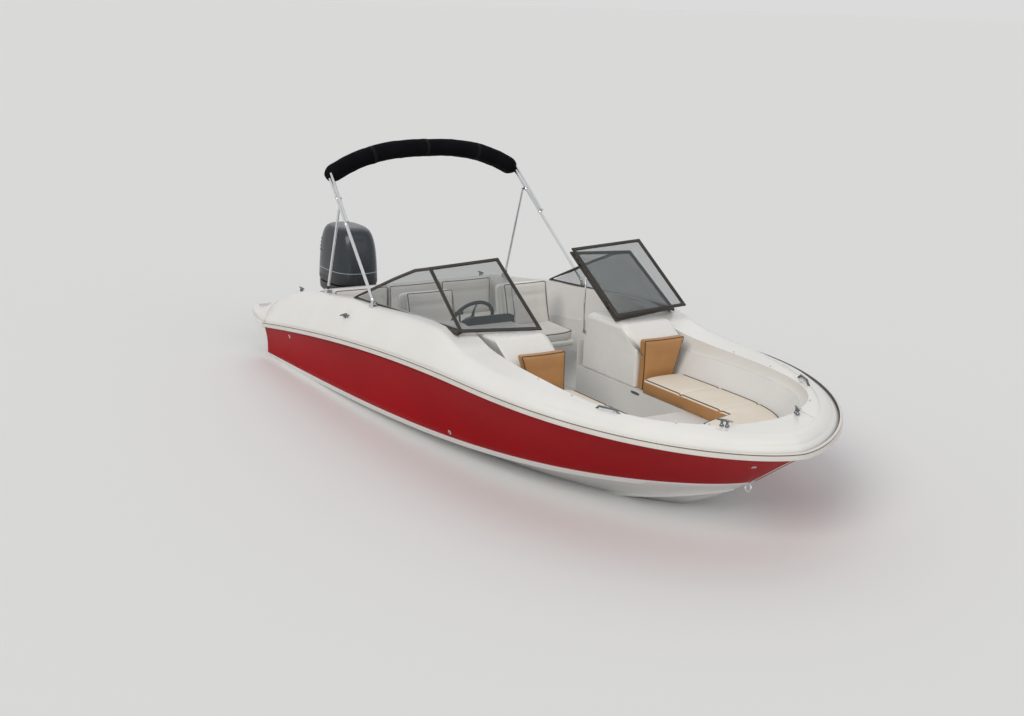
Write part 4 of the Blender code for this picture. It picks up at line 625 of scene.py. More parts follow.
start, *others = inner_rings(SEAM_GAP, SEAM_GAP)
liner = lofted("liner_moulding", start, [liner_shaded_gelcoat, non_skid], slot="liner_grey", body=None)
boolean(liner, others, "UNION")
boolean(liner, [hull_rings(SEAM_GAP)], "INTERSECT")
boolean(liner, inner_rings(LINER_WALL, SOLE_THICK))
fine_top(liner, SOLE_Z - SOLE_GRAIN_HIGH, SOLE_Z + SOLE_GRAIN_HIGH, 1)
rounded(liner, 0.006, 2)
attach(liner, "root")
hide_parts("cockpit_liner")


# Splash well: the white tray in front of the transom that drains what comes over it.
# It is moulded apart and dropped in, with a round scupper at each side.
def refined(node, name, materials, width=0.0, segments=2, angle_deg=30.0, smooth_deg=35.0,
            body="root", slot=None):
    """A CAD node's shape made over with rolled edges and a real finish."""
    bm = bmesh.new()
    bm.from_mesh(nodes[node].data)
    bmesh.ops.remove_doubles(bm, verts=bm.verts[:], dist=0.00005)
    bmesh.ops.dissolve_limit(bm, angle_limit=math.radians(0.6), verts=bm.verts[:], edges=bm.edges[:])
    piece = piece_from(name, bm, materials, body, smooth_deg, slot)
    if width:
        rounded(piece, width, segments, angle_deg, smooth_deg)
    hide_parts(node)
    return piece


def turned_into(bm, base, axis, profile, sides=32, index=0):
    """Turned form into a bmesh: profile lists distance along the axis and radius."""
    along = Vector(axis).normalized()
    side = along.orthogonal().normalized()
    over = along.cross(side)
    rings = [[Vector(base) + along * d + r * (math.cos(a) * side + math.sin(a) * over)
              for a in angles(sides)] for d, r in profile]
    loft_into(bm, rings, index=index)


SCUPPER_R = 0.022
TRAY_UNDER = 0.004
# places along the falling deck at which the tray's rim is trimmed to it
TRIM_XS = (-2.95, -2.894, -2.84, -2.78, -2.72, -2.64, -2.56, -2.46, -2.36, -2.28)
tray = refined("splash_well", "splash_tray", [white_gelcoat], slot="gelcoat_white")
over_deck = [(x, crown_height(x) - TRAY_UNDER) for x in TRIM_XS]
over_deck += [(TRIM_XS[-1], SPACE_TOP_Z), (TRIM_XS[0], SPACE_TOP_Z)]
boolean(tray, [[[(x, y, z) for x, z in over_deck] for y in (-WELL_HALF - 0.05, WELL_HALF + 0.05)]])
rounded(tray, 0.008, 3)
grey_plastic = finish("grey_plastic", (0.10, 0.10, 0.105), (0.07, 0.07, 0.075), 0.5, bump=0.0002)
bm = bmesh.new()
for side in (1, -1):
    turned_into(bm, (WELL_AFT_X + 0.10, side * (WELL_HALF - 0.016), 0.27), (0, -side, 0),
                [(0.0, SCUPPER_R), (0.004, SCUPPER_R), (0.005, 0.8 * SCUPPER_R),
                 (0.002, 0.7 * SCUPPER_R), (0.001, 0.2 * SCUPPER_R)], 24)
piece_from("well_scuppers", bm, [grey_plastic], slot="rail_black")


# Swim platforms: a white moulding each side of the motor, rolled over at its edges, with a pale
# strip round its outer edge and a grained grey pad where a swimmer stands.
PLATFORM_AFT_X = -3.50
PLATFORM_TIP_HALF = 1.00
PLATFORM_TOP_Z = 0.385
PLATFORM_LIP = 0.085
# share of the way aft, how far the side has drawn in, how much of the quarter still stands
PLATFORM_SHARES = [(0.0, 0.0, 1.0), (0.1, 0.02, 0.86), (0.2, 0.06, 0.66), (0.31, 0.12, 0.45),
                   (0.42, 0.20, 0.28), (0.52, 0.30, 0.14), (0.62, 0.42, 0.05), (0.72, 0.57, 0.01),
                   (0.82, 0.74, 0.0), (0.89, 0.88, 0.0), (0.94, 1.0, 0.0), (0.97, 1.22, 0.0),
                   (1.0, 1.7, 0.0)]
QUARTER_IN = 0.20
# in from the side and up from the step, as shares of the quarter's width and height
QUARTER_OUTSIDE = [(0.16, 0.42), (0.35, 0.72), (0.65, 0.93)]
STRIP_HALF_HIGH = 0.018
STRIP_THICK = 0.007
STRIP_Z = PLATFORM_TOP_Z - 0.45 * PLATFORM_LIP
PLATFORM_PAD_IN = 0.06
PAD_FORE_X = -3.08
PAD_IN_Y = 0.52
PAD_PROUD = 0.0024


def platform_stations():
    """Place along, half width and share of the quarter left, from the transom aft."""
    start = TRANSOM_X - SEAM_GAP
    for along, taper, crown in PLATFORM_SHARES:
        yield (start + along * (PLATFORM_AFT_X - start),
               sheer_y(TRANSOM_X) + taper * (PLATFORM_TIP_HALF - sheer_y(TRANSOM_X)), crown)


def platform_rings(side):
    """Sections of a platform: its step, and the quarter beside it that falls away aft."""
    quarter_z = CROWN_SHARES[0][1] * CROWN_Z
    wide = QUARTER_IN * sheer_y(TRANSOM_X) / HALF_BEAM
    top, low = PLATFORM_TOP_Z, PLATFORM_TOP_Z - PLATFORM_LIP
    rings = []
    for x, half, crown in platform_stations():
        rise = crown * (quarter_z - top)
        inner = half - wide
        port = [(WELL_HALF, low), (half - 0.006, low), (half, low + 0.006), (half, top - 0.006)]
        port += [(half - a * wide, top + b * rise) for a, b in QUARTER_OUTSIDE]
        port += [(inner, top + rise), (inner - 0.012, top + rise - 0.006 * crown),
                 (inner - 0.3 * wide, top + 0.42 * rise), (inner - 0.6 * wide, top + 0.003 * crown),
                 (WELL_HALF, top)]
        rings.append([(x, y * side, z) for y, z in port])
    return rings


def strip_rings(side):
    """Sections of the flat strip on edge, round the platform's outside and across its end."""
    path = [(x + 0.002, half * side, STRIP_Z) for x, half, _ in platform_stations()]
    inner_end = [(PLATFORM_AFT_X, y * side, STRIP_Z) for y in (0.85, 0.65, 0.47)]
    line = [Vector(p) for p in path + inner_end if abs(p[1]) >= WELL_HALF]
    up = Vector((0, 0, STRIP_HALF_HIGH))
    rings = []
    for i, p in enumerate(line):
        run = (line[min(i + 1, len(line) - 1)] - line[max(i - 1, 0)]).normalized()
        out = Vector((run.y, -run.x, 0)) * side
        way = -out if out.x > 0.3 or out.y * side < -0.3 else out
        p, o = p - way * 0.002, way.normalized() * STRIP_THICK
        rings.append([p - up, p - up * 0.8 + o, p + up * 0.8 + o, p + up])
    return rings


for side, name in SIDES:
    platform = lofted(f"platform_{name}", platform_rings(side), [white_gelcoat], slot="gelcoat_white")
    rounded(platform, 0.010, 3, 40)
    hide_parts(f"swim_platform_{name}")
    lofted(f"platform_strip_{name}", strip_rings(side), [rail_pale], slot="rail_black")
    aft = PLATFORM_AFT_X + PLATFORM_PAD_IN
    edge = [(x, max(half - PLATFORM_PAD_IN - 0.12 * crown ** 0.5, PAD_IN_Y + 0.03))
            for x, half, crown in platform_stations() if aft < x < PAD_FORE_X]
    outline = edge + [(aft, edge[-1][1] - 0.05), (aft, PAD_IN_Y), (edge[0][0], PAD_IN_Y)]
    layers = [[(x, y * side, z) for x, y in outline]
              for z in (PLATFORM_TOP_Z - 0.002, PLATFORM_TOP_Z + PAD_PROUD)]
    step_pad = lofted(f"platform_pad_{name}", layers, [non_skid], slot="liner_grey")
    rounded(step_pad, 0.0015, 2)


# Consoles: a white moulded box each side of the aisle that carries the windshield's inner posts,
# its corners rolled. A dark vent slot is let into each seat base ahead of it.
VENT_X = 0.89
VENT_Z = 0.474
VENT_HALF_LONG = 0.052
VENT_HALF_HIGH = 0.011
console_white = finish("console_white", (0.78, 0.78, 0.765), (0.73, 0.725, 0.71), 0.28, spread=0.06,
                       gleam=0.4)
for side, name in SIDES:
    refined(f"console_{name}", f"console_moulding_{name}", [console_white], 0.022, 4, 25, 50,
            slot="gelcoat_white")
    rings = [[(VENT_X + (VENT_HALF_LONG - inset) * max(-1.0, min(1.0, 1.25 * math.cos(a))),
               side * (AISLE_HALF - LINER_WALL + 0.002 - out),
               VENT_Z + (VENT_HALF_HIGH - inset) * math.sin(a)) for a in angles(32, 0.5)]
             for inset, out in ((0.0, 0.0), (0.0, 0.0035), (0.0018, 0.0045))]
    lofted(f"vent_slot_{name}", rings, [grey_plastic], slot="dash_black")


# Dash: a black grained pod on the starboard console with plain dials under a brow, rocker switches
# and the throttle lever beside the wheel. It is screwed to the console from behind.
HELM_Y = -0.52
dash_black = finish("dash_black", (0.020, 0.020, 0.022), (0.032, 0.032, 0.034), 0.5, bump=0.0004,
                    bump_scale=700.0)
dial_black = finish("dial_black", (0.006, 0.006, 0.007), (0.012, 0.012, 0.013), 0.12, coat=0.6)
dial_pale = finish("dial_pale", (0.72, 0.72, 0.70), (0.62, 0.62, 0.60), 0.5)
# across from the helm's middle, up the face, radius
DIALS = [(-0.085, 0.0, 0.040), (0.085, 0.0, 0.040), (0.0, 0.012, 0.026)]
DIAL_TICKS = 11
DIAL_SWEEP_DEG = 260
FACE_LOW = Vector((0.022, HELM_Y, 0.892))
FACE_HIGH = Vector((0.088, HELM_Y, 0.978))
SWITCHES = 5
SWITCH_APART = 0.035


def tube_into(bm, path, radius, sides=16, index=0, flat=1.0, over=(0, 0, 1)):
    """Round bar along a path; radius is one number or one a point."""
    path = [Vector(p) for p in path]
    sizes = list(radius) if isinstance(radius, (list, tuple)) else [radius] * len(path)
    rings = []
    for i, point in enumerate(path):
        run = (path[min(i + 1, len(path) - 1)] - path[max(i - 1, 0)]).normalized()
        side = Vector(over).cross(run)
        side = side.normalized() if side.length > 0.1 else Vector((0, 1, 0)).cross(run).normalized()
        up = run.cross(side)
        rings.append([point + sizes[i] * (math.cos(a) * side + flat * math.sin(a) * up)
                      for a in angles(sides)])
    loft_into(bm, rings, index=index)


refined("dash_pod", "dash_moulding", [dash_black], 0.007, 3, 28, 50, slot="dash_black")
face_up = (FACE_HIGH - FACE_LOW).normalized()
face_out = Vector((-face_up.z, 0, face_up.x))
face_middle = FACE_LOW.lerp(FACE_HIGH, 0.5)
bm = bmesh.new()
for across, up, r in DIALS:
    centre = face_middle + Vector((0, across, 0)) + face_up * up
    turned_into(bm, centre, face_out, [(-0.004, r), (0.005, r), (0.006, 0.93 * r), (0.003, 0.86 * r),
                                       (0.0025, 0.02 * r)], 36, 0)
    for k in range(DIAL_TICKS):
        a = math.radians(DIAL_SWEEP_DEG * k / (DIAL_TICKS - 1) - 0.5 * DIAL_SWEEP_DEG)
        out = math.sin(a) * Vector((0, 1, 0)) + math.cos(a) * face_up
        face = centre + face_out * 0.0036
        tube_into(bm, [face + out * 0.62 * r, face + out * 0.80 * r], 0.0006, 6, 1, over=face_out)
    pivot = centre + face_out * 0.005
    tube_into(bm, [pivot, pivot - face_up * 0.5 * r + Vector((0, 0.35 * r, 0))], [0.0012, 0.0004], 6, 1,
              over=face_out)
for k in range(SWITCHES):
    place = Vector((-0.0175, HELM_Y + DIALS[0][0] + SWITCH_APART * k + 0.01, 0.845))
    turned_into(bm, place, (-1, 0, 0), [(0.0, 0.009), (0.007, 0.008), (0.0075, 0.003)], 4, 0)
piece_from("dash_dials", bm, [dial_black, dial_pale], slot="dash_black")

# Steering wheel: a padded black rim, three flat spokes with bright faces and a plain hub cap.
# The hub is keyed to the helm's shaft.
WHEEL_CENTRE = Vector((-0.12, HELM_Y, 0.90))
WHEEL_TILT = math.radians(28.0)
WHEEL_R = 0.175
WHEEL_RIM_R = 0.014
wheel_axis = Vector((math.cos(WHEEL_TILT), 0, -math.sin(WHEEL_TILT)))
wheel_side = Vector((0, 0, 1)).cross(wheel_axis).normalized()
wheel_up = wheel_axis.cross(wheel_side)
grip_black = finish("grip_black", (0.018, 0.018, 0.019), (0.03, 0.03, 0.031), 0.55, bump=0.0005,
                    bump_scale=500.0)


def rim_rings():
    """Sections of the padded rim, all the way round."""
    side = wheel_axis.orthogonal().normalized()
    over = wheel_axis.cross(side)
    for a in angles(64):
        out = math.cos(a) * side + math.sin(a) * over
        centre = WHEEL_CENTRE + out * WHEEL_R
        yield [centre + WHEEL_RIM_R * (math.cos(b) * out + math.sin(b) * wheel_axis)
               for b in angles(14)]


bm = bmesh.new()
loft_into(bm, rim_rings(), looped=True)
for k in range(3):
    a = math.radians(90 + 120 * k)
    out = math.cos(a) * wheel_side + math.sin(a) * wheel_up
    spine = [WHEEL_CENTRE + out * WHEEL_R * s - wheel_axis * 0.012 * math.sin(math.pi * s)
             for s in (0.12, 0.3, 0.5, 0.7, 0.88, 0.98)]
    tube_into(bm, spine, [0.018, 0.015, 0.012, 0.011, 0.012, 0.010], 12, 1, flat=0.35,
              over=out.cross(wheel_axis).cross(out))
turned_into(bm, WHEEL_CENTRE - wheel_axis * 0.022, wheel_axis,
            [(0.0, 0.012), (0.002, 0.026), (0.008, 0.033), (0.02, 0.036), (0.045, 0.030)], 32, 0)
wheel = piece_from("wheel_made", bm, [grip_black, bright_steel], "wheel", 40, "dash_black")
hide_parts("steering_wheel")


# Bow cushions: pale vinyl pads that run from each backrest round the bow, faced with caramel at
# their sides and piped in dark brown. They are snapped down on the shelf.
BOW_PAD_Z = 0.605
BOW_PAD_AFT_X = 0.98
BOW_PAD_FORE_X = 2.36
BOW_PAD_IN = 0.31
BOW_PAD_NOSE_IN = 0.003
BOW_PAD_TURN_X = 2.06
BOW_PAD_TURN = 0.10
BOW_PAD_PLAY = 0.012
BOW_PAD_ROUND = 0.020
BOW_PAD_CROWN = 0.016
BOW_PAD_SEAMS = (1.42, 1.86)
BOW_PAD_SEAM_DEEP = 0.011
BOW_PAD_SEAM_WIDE = 0.010
BOW_PAD_STATIONS = 90
# points of the pad's section that its two lines of piping follow
BOW_PAD_PIPED = (3, 19)
PIPING_R = 0.0042


def vinyl(name, colour, deep, rough):
    """Sewn vinyl with a fine grain."""
    return finish(name, colour, deep, rough, bump=0.0005, bump_scale=520.0, spread=0.08, scale=4.0)


vinyl_pale = vinyl("vinyl_pale", (0.765, 0.695, 0.595), (0.715, 0.645, 0.545), 0.48)
vinyl_caramel = vinyl("vinyl_caramel", (0.46, 0.235, 0.085), (0.38, 0.185, 0.062), 0.46)
piping_brown = finish("piping_brown", (0.055, 0.035, 0.024), (0.08, 0.05, 0.034), 0.5, bump=0.0003)


def shelf_half(x, z):
    """Half width inside the sloping coaming at a place on the bow shelf."""
    up = min((z - BOW_SHELF_Z) / (BOW_SLOPE_Z - BOW_SHELF_Z), 1.0)
    long_share, wide_share = (share + (1 - share) * up for share in BOW_SHELF_SHARES)
    if x <= BOW_WIDEST_X:
        along = max(x - COCKPIT_FORE_X, 0) / (BOW_WIDEST_X - COCKPIT_FORE_X)
        return (BOW_AFT_HALF + (BOW_HALF - BOW_AFT_HALF) * along) * wide_share - LINER_WALL
    along = min((x - BOW_WIDEST_X) / (BOW_WELL_LENGTH * long_share - LINER_WALL), 1.0)
    return (BOW_HALF * wide_share - LINER_WALL) * (1 - along ** 3.2) ** 0.5


def bow_inner_edge(x):
    """Inner edge of the pad: it turns in to meet the other side's at the nose."""
    turn = min(max((x - BOW_PAD_TURN_X + BOW_PAD_TURN) / BOW_PAD_TURN, 0.0), 1.0)
    turn = turn * turn * (3 - 2 * turn)
    return BOW_PAD_IN + (BOW_PAD_NOSE_IN - BOW_PAD_IN) * turn


def bow_pad_ring(x, end, sunk):
    """Section of the pad across the boat; end shrinks it towards its ends, sunk is a seam's depth."""
    r = BOW_PAD_ROUND
    low, top = BOW_SHELF_Z + SEAM_GAP, BOW_PAD_Z - r * end - sunk
    inner = bow_inner_edge(x) + r * end
    ring = []
    for k in range(5):
        a = 0.5 * math.pi * k / 4
        ring.append((inner + r * (1 - math.cos(a)), top - r + r * math.sin(a)))
    outer = shelf_half(x + BOW_PAD_PLAY, top - r) - BOW_PAD_PLAY - r * end
    wide = max(outer - inner - 2 * r, 0.004)
    for k in range(1, 14):
        t = k / 14
        crown = 0.9 * BOW_PAD_CROWN * (1 - end) * (1 - (2 * t - 1) ** 4)
        ring.append((inner + r + wide * t, top + crown))
    for k in range(5):
        a = 0.5 * math.pi * (1 - k / 4)
        z = top - r + r * math.sin(a)
        ring.append((max(inner + r + wide + r * math.cos(a), inner + 2 * r), z))
    foot = shelf_half(x + BOW_PAD_PLAY, low) - BOW_PAD_PLAY - r * end
    ring += [(max(foot, inner + 2 * r), low + 0.3 * r), (max(foot - 0.5 * r, inner + 1.5 * r), low),
             (inner + 0.5 * r, low), (inner, low + 0.5 * r)]
    return [(x, y, z) for y, z in ring]


def bow_pad_stations():
    """Places along the pad, how near its ends they are and how deep its seams."""
    length = BOW_PAD_FORE_X - BOW_PAD_AFT_X
    for k in range(BOW_PAD_STATIONS + 1):
        share = k / BOW_PAD_STATIONS
        x = BOW_PAD_AFT_X + length * share
        near = min(x - BOW_PAD_AFT_X, BOW_PAD_FORE_X - x)
        end = (1 - min(near / BOW_PAD_ROUND, 1.0)) ** 2
        sunk = sum(BOW_PAD_SEAM_DEEP * math.exp(-((x - seam) / BOW_PAD_SEAM_WIDE) ** 2)
                   for seam in BOW_PAD_SEAMS)
        yield x, end, sunk


for side, name in SIDES:
    bm = bmesh.new()
    rings = [[(x, y * side, z) for x, y, z in bow_pad_ring(*station)] for station in bow_pad_stations()]
    loft_into(bm, rings)
    for face in bm.faces:
        if abs(face.normal.z) < 0.7 and face.calc_center_median().z < BOW_PAD_Z - 0.012:
            face.material_index = 1
    bm.normal_update()
    pad = piece_from(f"bow_pad_{name}", bm, [vinyl_pale, vinyl_caramel], "root", 60, "vinyl_pale")
    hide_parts(f"bow_cushion_{name}")
    bm = bmesh.new()
    for pick in BOW_PAD_PIPED:
        tube_into(bm, [Vector(ring[pick]) + Vector((0, 0, 0.001)) for ring in rings[2:-2]], PIPING_R, 8)
    across = (bow_inner_edge(BOW_PAD_AFT_X) + 0.02, 0.45, shelf_half(BOW_PAD_AFT_X, BOW_PAD_Z) - 0.03)
    tube_into(bm, [(BOW_PAD_AFT_X + 0.008, y * side, BOW_PAD_Z - 0.008) for y in across], PIPING_R, 8)
    piece_from(f"bow_piping_{name}", bm, [piping_brown], slot="vinyl_caramel")


# Bow backrests: caramel vinyl pads against the fronts of the consoles, with two sewn channels each,
# piped round their edge and screwed on through the console.
BACK_X = 0.8603
BACK_THICK = 0.09
BACK_LOW_Z = 0.5006
BACK_TOP_Z = 0.885
BACK_IN_Y = 0.35
BACK_OUT_Y = 0.73
BACK_TUCK = 0.12
PAD_CUTS = 18
PIPING_STEPS = 14
PIPING_UP = 0.92


def pad_shape(half, r, crown, pull, channels):
    """Map of a unit cube onto a stuffed pad: crowned on top, its sides drawn in between corners.

    channels lists (0 along or 1 across, place as a share, depth, half width as a share).
    """
    def shape(p):
        q = Vector(p)
        u, v = q.x, q.y
        far = Vector(q[i] * half[i] for i in range(3))
        core = Vector(max(min(far[i], half[i] - r), r - half[i]) for i in range(3))
        off = far - core
        at_skin = max(abs(c) for c in q) > 0.999
        if off.length > 1e-9 and (off.length > r or at_skin):
            off *= r / off.length
        out = core + off
        top = max(q.z, 0.0)
        out.z += top * crown * (1 - u ** 4) * (1 - v ** 4)
        out.x -= pull[0] * u * (1 - v * v)
        out.y -= pull[1] * v * (1 - u * u)
        for way, place, depth, wide in channels:
            t = (q[way] - place) / wide
            out.z -= top * depth * math.exp(-t * t) * (1 - q[1 - way] ** 8)
        return out
    return shape


def softened(piece):
    """Smooth a piece by one round of subdivision."""
    soft = piece.modifiers.new("soft", "SUBSURF")
    soft.levels = soft.render_levels = 1


def pad_piece(name, shape, place, materials, body, slot, node=None):
    """A stuffed pad through a shape map and a placing map, with piping round its top edge."""
    bm = bmesh.new()
    bmesh.ops.create_cube(bm, size=2.0)
    bmesh.ops.subdivide_edges(bm, edges=bm.edges[:], cuts=PAD_CUTS, use_grid_fill=True)
    for vert in bm.verts:
        p = Vector(math.copysign(abs(math.sin(0.5 * math.pi * c)), c) for c in vert.co)
        vert.co = place(shape(p))
    pad = piece_from(name, bm, materials, body, 60, slot)
    softened(pad)
    if node:
        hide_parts(node)
    corners = [(-1, -1), (1, -1), (1, 1), (-1, 1)]
    line = []
    for (a, b), (c, d) in zip(corners, corners[1:] + corners[:1]):
        for k in range(PIPING_STEPS):
            t = 0.5 - 0.5 * math.cos(math.pi * k / PIPING_STEPS)
            line.append(place(shape((a + (c - a) * t, b + (d - b) * t, PIPING_UP))))
    bm = bmesh.new()
    closed_tube_into(bm, line, PIPING_R)
    piece_from(f"{name}_piping", bm, [piping_brown], body, 60, slot)


def closed_tube_into(bm, line, radius):
    """Round bar along a closed line of points."""
    middle = sum(line, Vector()) / len(line)
    rings = []
    for i, point in enumerate(line):
        run = (line[(i + 1) % len(line)] - line[i - 1]).normalized()
        out = point - middle
        out = (out - run * out.dot(run)).normalized()
        over = run.cross(out)
        rings.append([point + radius * (math.cos(a) * out + math.sin(a) * over) for a in angles(8)])
    loft_into(bm, rings, looped=True)


for side, name in SIDES:
    half = ((BACK_TOP_Z - BACK_LOW_Z) / 2, (BACK_OUT_Y - BACK_IN_Y) / 2, BACK_THICK / 2 - 0.006)

    def set_back(p):
        share = min(max((p.x + half[0]) / (2 * half[0]), 0.0), 1.0)
        across = BACK_OUT_Y - BACK_IN_Y
        wide = (across - BACK_TUCK * (1 - share)) / across
        y = BACK_IN_Y + (p.y + half[1]) * wide
        return Vector((BACK_X + half[2] + p.z, y * side, BACK_LOW_Z + half[0] + p.x))

    pad_piece(f"bow_back_{name}", pad_shape(half, 0.026, 0.012, (0.006, 0.006),
                                            [(0, -0.45, 0.010, 0.05), (0, 0.35, 0.010, 0.05)]),
              set_back, [vinyl_caramel, vinyl_pale], "root", "vinyl_caramel", f"bow_backrest_{name}")


# Helm seats: two swivel buckets, each a white moulded shell that holds a crowned seat pad and a
# back pad, both with sewn channels. They turn on polished pedestals.
SEAT_X = -0.72
SEAT_Y = 0.46
SEAT_Z = 0.47
SEAT_HALF = 0.25
seat_white = vinyl("seat_white", (0.70, 0.69, 0.665), (0.655, 0.64, 0.615), 0.48)
# fore and aft from the seat's middle, up from its base
SHELL_PROFILE = [(-0.19, 0.0), (0.20, 0.0), (0.245, 0.03), (0.248, 0.055), (0.225, 0.062),
                 (-0.13, 0.05), (-0.185, 0.12), (-0.225, 0.30), (-0.268, 0.475), (-0.30, 0.478),
                 (-0.306, 0.45), (-0.268, 0.24), (-0.235, 0.06)]
# place across as a share of the half width, size there
SHELL_SHARES = [(-1.0, 0.88), (-0.94, 0.97), (-0.80, 1.0), (0.80, 1.0), (0.94, 0.97), (1.0, 0.88)]
SHELL_MIDDLE = Vector((-0.03, 0, 0.15))
# distance up and radius of the pedestal's turned parts
PEDESTAL = [(0.0, 0.160), (0.008, 0.160), (0.013, 0.154), (0.020, 0.085), (0.034, 0.058),
            (0.055, 0.050), (0.200, 0.050), (0.204, 0.056), (0.222, 0.056), (0.226, 0.046),
            (0.350, 0.046), (0.362, 0.060), (0.372, 0.112), (0.3894, 0.118)]
PEDESTAL_BOLTS = 6
PEDESTAL_BOLT_OUT = 0.13
SEAT_PAD = (0.205, 0.225, 0.040)
SEAT_BACK = (0.185, 0.215, 0.034)
BACK_LEAN_DEG = 14.0


def shell_rings(y):
    """Side views of the bucket from one side to the other, smaller at both."""
    mid_x, _, mid_z = SHELL_MIDDLE
    for share, shrink in SHELL_SHARES:
        yield [(SEAT_X + mid_x + (x - mid_x) * shrink, y + SEAT_HALF * share,
                SEAT_Z + mid_z + (z - mid_z) * (shrink if z > 0.1 else 1)) for x, z in SHELL_PROFILE]


for side, name in SIDES:
    y, body = side * SEAT_Y, f"seat_{name}"
    shell_of = lofted(f"seat_shell_{name}", shell_rings(y), [white_gelcoat], body, 30, "vinyl_pale")
    rounded(shell_of, 0.008, 3, 25, 60)
    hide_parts(f"seat_{name}")

    def on_seat(p):
        dish = 0.022 * (p.y / SEAT_PAD[1]) ** 4
        return Vector((SEAT_X + 0.025 + p.x, y + p.y, SEAT_Z + 0.098 + p.z + dish - 0.02 * p.x))

    pad_piece(f"seat_pad_{name}", pad_shape(SEAT_PAD, 0.03, 0.012, (0.006, 0.004),
                                            [(0, -0.35, 0.012, 0.045), (0, 0.3, 0.012, 0.045),
                                             (1, -0.62, 0.012, 0.04), (1, 0.62, 0.012, 0.04)]),
              on_seat, [seat_white, vinyl_caramel], body, "vinyl_pale")
    lean = math.radians(BACK_LEAN_DEG)

    def on_back(p):
        wrap = 0.028 * (p.y / SEAT_BACK[1]) ** 4
        up, out = p.x + SEAT_BACK[0], p.z + wrap
        return Vector((SEAT_X - 0.155 - up * math.sin(lean) + out * math.cos(lean), y + p.y,
                       SEAT_Z + 0.125 + up * math.cos(lean) + out * math.sin(lean)))

    pad_piece(f"seat_back_{name}", pad_shape(SEAT_BACK, 0.028, 0.010, (0.004, 0.008),
                                             [(0, -0.2, 0.012, 0.04), (0, 0.42, 0.014, 0.05),
                                              (1, -0.6, 0.012, 0.04), (1, 0.6, 0.012, 0.04)]),
              on_back, [seat_white, vinyl_caramel], body, "vinyl_pale")
    bm = bmesh.new()
    turned_into(bm, (SEAT_X, y, SOLE_Z + SEAM_GAP), (0, 0, 1), PEDESTAL, 48)
    for a in angles(PEDESTAL_BOLTS, 0.5):
        bolt = (SEAT_X + PEDESTAL_BOLT_OUT * math.cos(a), y + PEDESTAL_BOLT_OUT * math.sin(a))
        turned_into(bm, (*bolt, SOLE_Z + 0.010), (0, 0, 1),
                    [(0.0, 0.009), (0.006, 0.008), (0.0075, 0.004)], 12)
    post = piece_from(f"pedestal_{name}", bm, [bright_steel], "root", 30, "stainless")
    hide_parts(f"seat_pedestal_{name}")


# Stern bench: three crowned cushions and three back pads on a moulded base across the cockpit,
# piped like the others. The base is bonded to the liner.
BENCH_AFT_X = COCKPIT_AFT_X + LINER_WALL + SEAM_GAP
BENCH_FORE_X = -1.50
BENCH_Z = 0.36
BENCH_PAD_Z = 0.48
BENCH_BACK_Z = 0.78
BENCH_BACK_THICK = 0.14
BENCH_HALF = 0.80
# middle of each cushion and its half width, as shares of the half bench
BENCH_MIDDLES = (-0.665, 0.0, 0.665)
BENCH_SHARE = 0.330
# the base takes the liner's pale grey, painted shade on white gelcoat
refined("bench_base", "bench_moulding", [liner_shaded_gelcoat], 0.006, 3, slot="liner_grey")
for count, middle in enumerate(BENCH_MIDDLES):
    y, half_wide = middle * BENCH_HALF, BENCH_SHARE * BENCH_HALF
    pad_aft = BENCH_AFT_X + BENCH_BACK_THICK + 0.012
    half = ((BENCH_FORE_X - pad_aft) / 2, half_wide, (BENCH_PAD_Z - BENCH_Z) / 2 - 0.008)

    def on_bench(p):
        return Vector((pad_aft + half[0] + p.x, y + p.y, BENCH_Z + 0.002 + half[2] + p.z))

    pad_piece(f"bench_pad_{count}", pad_shape(half, 0.032, 0.014, (0.006, 0.004),
                                              [(0, 0.55, 0.012, 0.04)]),
              on_bench, [seat_white, vinyl_caramel], "root", "vinyl_pale", "bench_cushion")
    back_half = ((BENCH_BACK_Z - BENCH_PAD_Z) / 2 + 0.03, half_wide - 0.004, 0.052)

    def on_back_rest(p):
        up = p.x + back_half[0]
        return Vector((BENCH_AFT_X + 0.060 - 0.04 * (up - back_half[0]) + p.z, y + p.y,
                       BENCH_BACK_Z - 2 * back_half[0] + up - 0.004))

    pad_piece(f"bench_back_{count}", pad_shape(back_half, 0.030, 0.014, (0.004, 0.006),
                                               [(0, 0.35, 0.014, 0.07), (1, 0.0, 0.010, 0.035)]),
              on_back_rest, [seat_white, vinyl_caramel], "root", "vinyl_pale", "bench_backrest")


# Windshield: dark anodised frames of round bar with tinted safety glass set in them.
# The frames are bolted to the deck along a tapering sill; the middle pane folds out to port.
CORNER_FOOT = Vector((0.47, 0.955, 0.985))
SIDE_END = Vector((-1.28, 0.958, 0.885))
bronze = finish("bronze", (0.050, 0.044, 0.039), (0.070, 0.062, 0.055), 0.34, metal=0.75, spread=0.07,
                scale=6.0, gleam=0.4)


def tinted_glass(name, colour, deep, alpha):
    """Smoked safety glass: it darkens what lies behind and shines on top."""
    made = finish(name, colour, deep, 0.04, spread=0.02, scale=0.8, gleam=0.45)
    shader = made.node_tree.nodes["Principled BSDF"]
    shader.inputs["Alpha"].default_value = alpha
    made.surface_render_method = "BLENDED"
    return made


